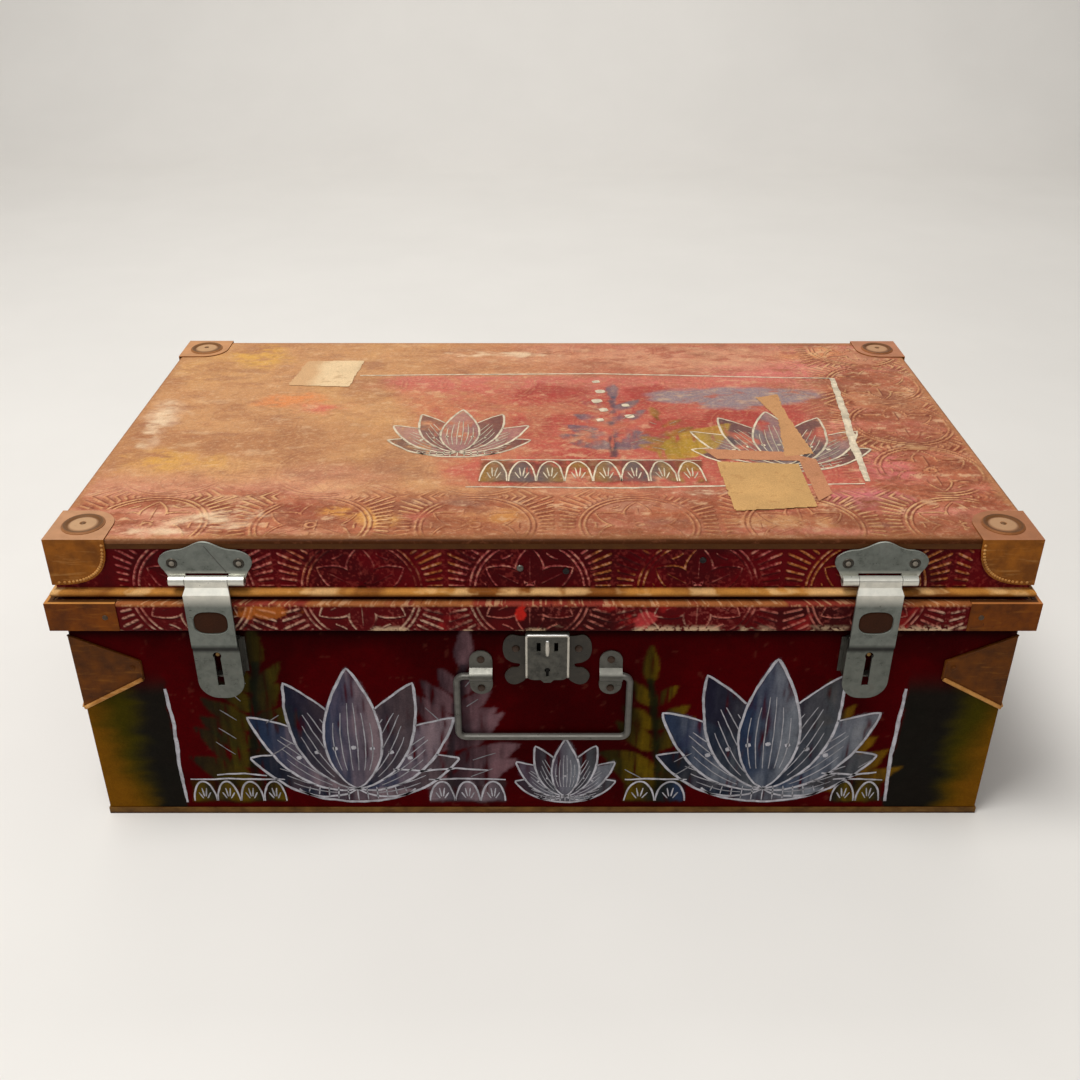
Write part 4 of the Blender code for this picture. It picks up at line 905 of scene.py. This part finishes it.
for number, side in enumerate(SIDES):
    half, depth = spans(side, WALL_X, WALL_Y)
    seed, step = 100 * (number + 1), 0.58 if side == "front" else 1.1
    wall = partial(pressed, half, BEAD_Z + 5, TOP_Z - FOLD - 1, 0.8, 0.75, False)
    skirt = partial(pressed, half, SKIRT_LOW + 1.2, SKIRT_TOP - 2.4, 0.5, 0.7, side == "back")
    swept(f"lid_{side}_wall_emboss", side, half, depth, wall_profile(step), step, wall,
          partial(wall_colours, seed))
    swept(f"lid_{side}_skirt_emboss", side, half + LEDGE, depth + LEDGE, skirt_profile(step), step, skirt,
          partial(skirt_colours, seed, side))


# Base walls

def base_colours(x, z, seed):
    # Darker towards the top and near black just under the skirt: a painted shadow of the skirt.
    return over("460003", "360002", ease(fbm(x, z, 70, seed), 0.38, 0.66),
                "280002", 0.6 * ease(z, 160, 186), "0c0001", 0.85 * ease(z, 171, 181),
                "965a46", 0.1 * ease(fbm(x, z, 8, seed + 10), 0.74, 0.8))


def end_colours(colour, x, z, seed):
    """Olive ends beyond a ragged line: ochre at the corner, running to near black inwards."""
    rag = 10 * (fbm(x * 0.3, z, 14, seed) - 0.5)
    drag = 16 * (fbm(x * 0.2, z, 7, seed + 9) - 0.5)
    for sign, inner, dark in ((-1, 290, 16), (1, 279, 32)):
        run = sign * x + rag
        olive = inner + dark
        end = ease(run, inner - 1, inner + 1.5) * (1 - ease(z, 118, 146))
        tone = over("161814", "3c3606", ease(run + drag, olive, olive + 24),
                    "764c0c", ease(run + drag + 0.22 * (60 - z), olive + 14, olive + 48))
        colour = over(colour, tone, 0.95 * end)
    return colour


def front_picture():
    art = Painting(940, "c4c2ca")
    blue, grey, lilac = "283650", "747880", "7e6c72"
    olive, dark = "604c0a", "1e211a"
    art.spray(-232, 12, 140, 14, "1a1e14", "40380c", 6)
    art.spray(-76, 12, 138, 16, "34282e", "76585e", 6)
    art.spray(92, 12, 124, -10, "1c200e", olive, 5)
    art.spray(244, 12, 100, -22, dark, "70500c", 5)
    for left, right, tones in ((-284, -208, (olive, dark)), (-92, -30, (lilac, "4c464e")),
                               (66, 116, (olive, dark, blue)), (234, 274, (dark, olive))):
        art.scallops(left, right, 11, 33, tones, 21)
    art.lotus(-150, 12, 134, blue, lilac, 2.2)
    art.lotus(178, 12, 142, blue, grey, 2.2)
    art.lotus(18, 11, 66, "544856", grey, 1.7)
    art.line([(-290, 126), (-289, 90), (-291, 50), (-290, 11)], 3)
    art.line([(279, 126), (278, 96), (277, 60), (279, 12)], 3.2)
    art.line([(-262, 40), (-240, 42), (-222, 39)], 1.6)
    art.line([(-120, 46), (-96, 44), (-70, 47), (-44, 45)], 1.8)
    art.line([(224, 42), (250, 40), (268, 43)], 2)
    return art


FRONT_ART = front_picture()
for number, side in enumerate(SIDES):
    half, depth = spans(side, BASE_X, BASE_Y)
    seed = 100 * (number + 5)
    along = np.linspace(-half - SKIN, half + SKIN, int(half / 0.8) + 1)
    A, Z = np.meshgrid(along, np.linspace(HEM_TOP + 0.2, RIM_LOW, 120), indexing="ij")
    tones = base_colours(A, Z, seed)
    if side == "front":
        tones = FRONT_ART.wash(end_colours(tones, A, Z, seed + 40), A, Z)
    points = turned(side, A, depth + SKIN, Z)
    grid_piece(f"base_{side}_paint", points, tones, RED_PLAIN, "base", "plain_red_paint")
FRONT_ART.strokes("base_front_brush_lines", lambda x, z: turned("front", x, BASE_Y + SKIN + 0.08, z),
                  "base", "plain_red_paint")


# Solids that show as they are: material, bevel in mm and its steps, by the first kind a name fits

LOOKS = {
    "*_wall": (SHEET,), "*_skirt": (RED_SHEET,), "lid_top": (RIM,), "base_floor": (HEM,),
    "lid_cap_*": (CAP, 0.3), "skirt_wrap_*": (WRAP, 0.3), "base_guard_*": (OCHRE, 0.3),
    "hasp_plate_*": (PLATE, 0.5, 3), "hasp_strap_*": (STRAP, 0.8, 4), "hasp_tongue_*": (TONGUE, 0.5, 3),
    "hasp_key_post_*": (BRASS, 0.2), "lock_plate": (STAINED_AND_SHADED, 0.3), "lock_case": (LOCK_ZINC, 0.45, 3),
    "lock_*": (LOCK_SHADE_BLACK, 0.2), "handle_bail": (WIRE,), "stay_arm_*": (DARK_ZINC, 0.25),
    "stay_*": (DARK_ZINC, 0.3), "*": (DARK_ZINC, 0.25),
}


def dress(node, material, bevel=0, steps=2):
    node.data.materials.clear()
    node.data.materials.append(material)
    if bevel:
        flat = node.modifiers.new("flat", "DECIMATE")
        flat.decimate_type, flat.angle_limit = "DISSOLVE", radians(1)
        soft = node.modifiers.new("soft", "BEVEL")
        soft.width, soft.segments = bevel * MM, steps
        soft.limit_method, soft.angle_limit = "ANGLE", radians(40)


for name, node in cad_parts.items():
    dress(node, *next(look for kind, look in LOOKS.items() if fnmatch(name, kind)))


# Nails, rivets, rolled edges and stitching, in millimetres

CAP_REACH, CAP_DROP, CAP_CURVE, CAP_THICK = 43, 37, 0.72, 1.1
STITCH_IN, STITCH_EDGE = 2.2, 0.3
GUARD_LOW, GUARD_HIGH, LOW_TAPER, HIGH_TAPER = 108.9, 175.9, 0.556, 0.47
GUARD_TIP, GUARD_TIP_Z, GUARD_NAIL, GUARD_EDGE, GUARD_FACE = 49.4, (136.6, 152.6), (43, 146.5), 0.8, 1.1
WRAP_OUT, WRAP_NAIL_Z, WRAP_NAIL_IN = 8.9, 197.5, 33.9
PLATE_FACE, PLATE_RIVET_X, PLATE_RIVET_Z = -203.9, 24, 240
LOCK_FACE, LOCK_HALF, LOCK_LOW, LOCK_HIGH, LOCK_ROUND = -209.6, 15.6, 143.5, 179.5, 1.8
OVAL_HALVES, OVAL_Z, STRAP_FACE = (12.4, 9.4), 195, -212.9
LOCK_TOP_HALF, LOCK_STEM = 13, (163.5, 177)
LOCK_RIVETS = [(LOCK_X + dx, -201.9, 164.4) for dx in (-23.6, 23.6)]
CLIP_RIVETS = [(HANDLE_X + dx, -202.2, z) for dx in (-49.3, 49.3) for z in (154.5, 128)]
HINGE_RIVETS, HINGE_RIVET_X = {"base": (201.9, 163), "lid": (210.2, 194.5)}, 15
CREASE = ((-242.6, -203.85, 255.6), (-228.2, -203.85, 232.6))
WALL_STUD, WALL_HOLES = (-17, -201.2, 234.5), ((16.2, -201.4, 232), (114.5, -201.4, 241.3))
FRONT, BACK, UP = (0, -1, 0), (0, 1, 0), (0, 0, 1)
ENDS = {"left": -1, "right": 1}


def nail(r, h, out, at):
    """A domed head standing on a face at a place."""
    dome = ((1, 0.15), (0.94, 0.5), (0.7, 0.84), (0.35, 1))
    return set_at(lathe([(r, -0.4), *[(a * r, b * h) for a, b in dome], (0.02, 1.03 * h)]), out, at)


def eyelet(r, h, out, at):
    """A pressed ring round a sunk middle."""
    ring = ((1.2, 0.3), (1, 0.9), (0.85, 0.8), (0.7, 0.1))
    return set_at(lathe([(1.25 * r, -0.3), *[(a * r, b * h) for a, b in ring], (0.02, 0)]), out, at)


def heads(name, shape, r, h, out, places, *looks):
    small_piece(name, [shape(r, h, out, at) for at in places], *looks)


def cap_stitches(corner, sx, sy):
    stitch = lathe([(1.15, -0.2), (1.1, 0.2), (0.7, 0.55), (0.05, 0.65)], 8)
    stitches = []
    for t in np.linspace(0.05, 1.52, 22):
        edge = STITCH_EDGE - (CAP_REACH - STITCH_IN) * cos(t) ** CAP_CURVE
        z = TOP_Z + STITCH_EDGE - (CAP_DROP - STITCH_IN) * sin(t) ** CAP_CURVE
        stitches.append(set_at(stitch, (0, sy, 0), (sx * (TOP_X + edge), sy * (TOP_Y + CAP_THICK), z)))
        stitches.append(set_at(stitch, (sx, 0, 0), (sx * (TOP_X + CAP_THICK), sy * (TOP_Y + edge), z)))
    # The stitches are lighter as a painted highlight.
    small_piece(f"cap_stitches_{corner}", stitches, "96622e", ROLLED_HIGHLIGHT, "lid", "ochre_paint")


def guard_edges(corner, sx, sy):
    """The rolled lower edge of a corner guard, lighter as a painted highlight, its thin upper edge and tip,
    and its nails.
    """
    def spot(out, run, z, lift):
        along, face = GUARD_EDGE - run, GUARD_FACE + lift
        x, y = (face, along) if out[0] else (along, face)
        return (sx * (BASE_X + x), sy * (BASE_Y + y), z)

    beads, rolls = [], []
    for out in ((0, sy, 0), (sx, 0, 0)):
        low = [spot(out, run, GUARD_LOW + LOW_TAPER * run, 0.35) for run in np.linspace(0.4, 49, 22)]
        high = [spot(out, run, GUARD_HIGH - HIGH_TAPER * run, 0.1) for run in np.linspace(0.4, GUARD_TIP, 22)]
        tip = [spot(out, GUARD_TIP, z, 0.05) for z in np.linspace(*GUARD_TIP_Z, 8)]
        rolls.append(tube(low, 1.6, 12))
        beads += [tube(high, 0.8), tube(tip, 0.85), nail(2.1, 1, out, spot(out, *GUARD_NAIL, 0))]
    small_piece(f"guard_edges_{corner}", beads, "96622e", OCHRE, "base", "ochre_paint")
    small_piece(f"guard_rolls_{corner}", rolls, "be884c", ROLLED_HIGHLIGHT, "base", "ochre_paint")


def corner_nails(corner, sx, sy):
    wrap = partial(nail, 2.1, 0.8)
    nails = [wrap((0, sy, 0), (sx * (WALL_X - WRAP_NAIL_IN), sy * (WALL_Y + WRAP_OUT), WRAP_NAIL_Z)),
             wrap((sx, 0, 0), (sx * (WALL_X + WRAP_OUT), sy * (WALL_Y - WRAP_NAIL_IN), WRAP_NAIL_Z))]
    small_piece(f"wrap_nails_{corner}", nails, "463422", PLAIN, "lid", "ochre_paint")
    disc = (sx * DISC_X, sy * DISC_Y, TOP_Z + CAP_THICK + 0.6)
    heads(f"cap_nail_{corner}", nail, 2, 1.2, UP, [disc], "6e4a28", PLAIN, "lid", "ochre_paint")


def lid_marks():
    places = [(sx * HASP_X + dx, PLATE_FACE, PLATE_RIVET_Z)
              for sx in ENDS.values() for dx in (-PLATE_RIVET_X, PLATE_RIVET_X)]
    heads("hasp_rivet_rings", eyelet, 3.4, 0.8, FRONT, places, "46423c", STAINED_AND_SHADED, "lid", "zinc_plate")
    heads("hasp_rivets", nail, 2.1, 1.1, FRONT, places, "80786c", PLAIN, "lid", "brass")
    crease = tube(np.linspace(*CREASE, 12), 0.3, 6)
    small_piece("plate_crease", [crease], "aaaaa6", WIRE, "lid", "zinc_plate")
    heads("wall_stud", nail, 2.6, 1.2, FRONT, [WALL_STUD], "787064", DARK_ZINC, "lid", "zinc_plate")
    # Near black rings stand for small holes in the wall: painted shade.
    heads("wall_holes", eyelet, 2, 0.5, FRONT, WALL_HOLES, "100808", PLAIN, "lid", "embossed_red_paint")


def base_rivets():
    lock = [nail(3, 1.3, FRONT, at) for at in LOCK_RIVETS]
    clips = [nail(3, 1.4, FRONT, at) for at in CLIP_RIVETS]
    small_piece("front_rivets", lock + clips, "3c281a", PLAIN, "base", "brass")
    for body, (y, z) in HINGE_RIVETS.items():
        places = [(sx * HINGE_X + dx, y, z) for sx in ENDS.values() for dx in (-HINGE_RIVET_X, HINGE_RIVET_X)]
        heads(f"hinge_rivets_{body}", nail, 2.4, 1, BACK, places, "625c54", DARK_ZINC, body, "zinc_plate")


def lock_rim():
    """The worn bright edge of the lock's case and the raised stem between its slots; their pale tone is
    partly a painted highlight.
    """
    left, top = LOCK_X - LOCK_HALF, LOCK_HIGH + LOCK_ROUND
    side = [(left, LOCK_FACE, z) for z in np.linspace(LOCK_LOW, LOCK_HIGH, 14)]
    side += [(left + LOCK_ROUND * (1 - cos(a)), LOCK_FACE, LOCK_HIGH + LOCK_ROUND * sin(a))
             for a in np.linspace(0.3, 1.57, 5)]
    rim = side + [(LOCK_X + dx, LOCK_FACE, top) for dx in np.linspace(-LOCK_TOP_HALF, LOCK_TOP_HALF, 14)]
    rim += [(2 * LOCK_X - x, y, z) for x, y, z in side[::-1]]
    stem = [(LOCK_X, LOCK_FACE - 0.1, z) for z in np.linspace(*LOCK_STEM, 10)]
    shapes = [tube(rim, 1), tube(stem, 1.7 * np.sin(np.linspace(0.5, 2.64, 10)) ** 0.5, 12)]
    small_piece("lock_rim", shapes, "96948c", RUBBED_AND_HIGHLIT, "base", "zinc_plate")


def strap_oval(end):
    """The dark pad in the sunk oval of a hasp strap."""
    pad, faces = lathe([(1, -0.3), (0.99, 0.1), (0.86, 0.3), (0.42, 0.38), (0.002, 0.4)], 40)
    r = np.hypot(pad[:, 0], pad[:, 1])
    for k, half in enumerate(OVAL_HALVES):
        pad[:, k] = half * r * np.sign(pad[:, k]) * np.abs(pad[:, k] / r) ** 0.7
    oval = set_at((pad, faces), FRONT, (ENDS[end] * HASP_X, STRAP_FACE, OVAL_Z))
    small_piece(f"strap_oval_{end}", [oval], "3a2013", RED_EMBOSSED, f"hasp_{end}", "zinc_plate")


for corner in CORNERS:
    depth, end = corner.split("_")
    for fittings in (cap_stitches, guard_edges, corner_nails):
        fittings(corner, ENDS[end], -1 if depth == "front" else 1)
lid_marks()
base_rivets()
lock_rim()
for end in ENDS:
    strap_oval(end)


# Bare paper patches left on the lid top

def patch(name, outline, tone, lift, seed):
    outline = np.asarray(outline, float)
    low, high = outline.min(0), outline.max(0)
    x, y = np.meshgrid(np.arange(low[0], high[0], 1), np.arange(low[1], high[1], 1), indexing="ij")
    wave = 1.6 * (fbm(x, y, 7, seed) - 0.5)
    held = inside(x + wave, y - wave, outline)
    quads = held[:-1, :-1] & held[1:, :-1] & held[1:, 1:] & held[:-1, 1:]
    faces = grid_faces(*x.shape)[quads.ravel()]
    used, faces = np.unique(faces, return_inverse=True)
    fade = ease(-x + 24 * (fbm(x, y, 16, seed + 13) - 0.5), 200, 218)
    colour = over(tone, dimmed(tone, 0.95), ease(fbm(x, y, 40, seed + 5), 0.4, 0.7),
                  "96643c", 0.3 * ease(fbm(x, y, 5, seed + 9), 0.64, 0.76), "c89c70", 0.85 * fade)
    points, colours = on_top(lift, top_press, x, y).reshape(-1, 3)[used], colour.reshape(-1, 3)[used]
    mesh_piece(name, points, faces.reshape(-1, 4), colours, PAPER, "lid", "embossed_red_paint")


patch("paper_patch_front", [(139, -74), (206, -79), (206, -153), (142, -160)], "c89c64", 0.35, 31)
patch("paper_patch_back", [(-236, 86), (-178, 82), (-172, 150), (-228, 148)], "e0c298", 0.35, 41)
patch("paper_strip", [(192, 58), (214, 66), (214, 20), (222, -60), (196, -66), (204, 10)],
      "c08e60", 0.3, 51)
patch("paper_edge", [(130, -50), (196, -56), (222, -70), (222, -130), (208, -146), (206, -74), (140, -70)],
      "bc825e", 0.25, 61)


# Floor, light and camera

FLOOR_TONE = "e6e3de"
FLOOR_FRONT, FLOOR_RUN, FLOOR_RISE, FLOOR_BEND, FLOOR_HALF = -2.5, 3, 3, 0.8, 5


def floor_paint():
    g = Graph("pale_floor")
    lighter = tuple(min(255, v + 4) for v in levels(FLOOR_TONE))
    g.set(Base_Color=g.mix(g.span(g.noise(3, 3), 0.3, 0.7), FLOOR_TONE, lighter), Roughness=0.85)
    return g.material


def floor_piece():
    """A floor that bends up into a back wall."""
    straight = FLOOR_RUN - FLOOR_BEND
    path = [(FLOOR_FRONT, 0), (straight, 0)]
    path += arc(straight, FLOOR_BEND, FLOOR_BEND, -FLOOR_BEND, np.linspace(0.1, pi / 2, 14))
    path.append((FLOOR_RUN, FLOOR_RISE))
    points = [(x, y, z) for y, z in path for x in (-FLOOR_HALF, FLOOR_HALF)]
    faces = [(2 * i, 2 * i + 1, 2 * i + 3, 2 * i + 2) for i in range(len(path) - 1)]
    mesh = bpy.data.meshes.new("studio_floor")
    mesh.from_pydata(points, [], faces)
    mesh.materials.append(floor_paint())
    mesh.shade_smooth()
    floor = added("studio_floor", mesh)


def area_light(name, place, aim, size, watts, colour):
    light = bpy.data.lights.new(name, "AREA")
    light.shape, light.energy, light.color = "RECTANGLE", watts, colour
    light.size, light.size_y = size
    lamp = added(name, light)
    lamp.location = place
    lamp.rotation_euler = (Vector(aim) - Vector(place)).to_track_quat("-Z", "Y").to_euler()


def studio():
    area_light("soft_box", (-0.75, -0.5, 2.8), (0, -0.05, 0.1), (1.3, 1.1), 63, (1, 0.992, 0.98))
    area_light("front_strip", (0, -2, 2.2), (0, -0.2, 0.15), (2.6, 0.9), 10, (1, 0.992, 0.98))
    area_light("back_wash", (0, 1.6, 2.4), (0, 2.6, 0.8), (3, 1), 19, (1, 0.985, 0.97))
    world = bpy.data.worlds.new("studio")
    world.use_nodes = True
    sky = world.node_tree.nodes["Background"].inputs
    sky["Color"].default_value = (1, 0.98, 0.95, 1)
    sky["Strength"].default_value = 0.26
    bpy.context.scene.world = world
    bpy.context.scene.view_settings.view_transform = "Standard"


def photo_camera():
    """The photograph's view: its angles down, aside and of tilt, its lens and where it stands."""
    down, aside, tilt = radians(29.76), radians(0.12), radians(-0.07)
    lens = bpy.data.cameras.new("photo_view")
    lens.lens, lens.sensor_width = 38.62, 36
    camera = added("photo_view", lens)
    turn = Matrix.Rotation(-aside, 4, "Z") @ Matrix.Rotation(pi / 2 - down, 4, "X")
    camera.matrix_world = turn @ Matrix.Rotation(-tilt, 4, "Z")
    camera.location = (-0.0041, -0.9163, 0.6668)
    bpy.context.scene.camera = camera


floor_piece()
studio()
photo_camera()
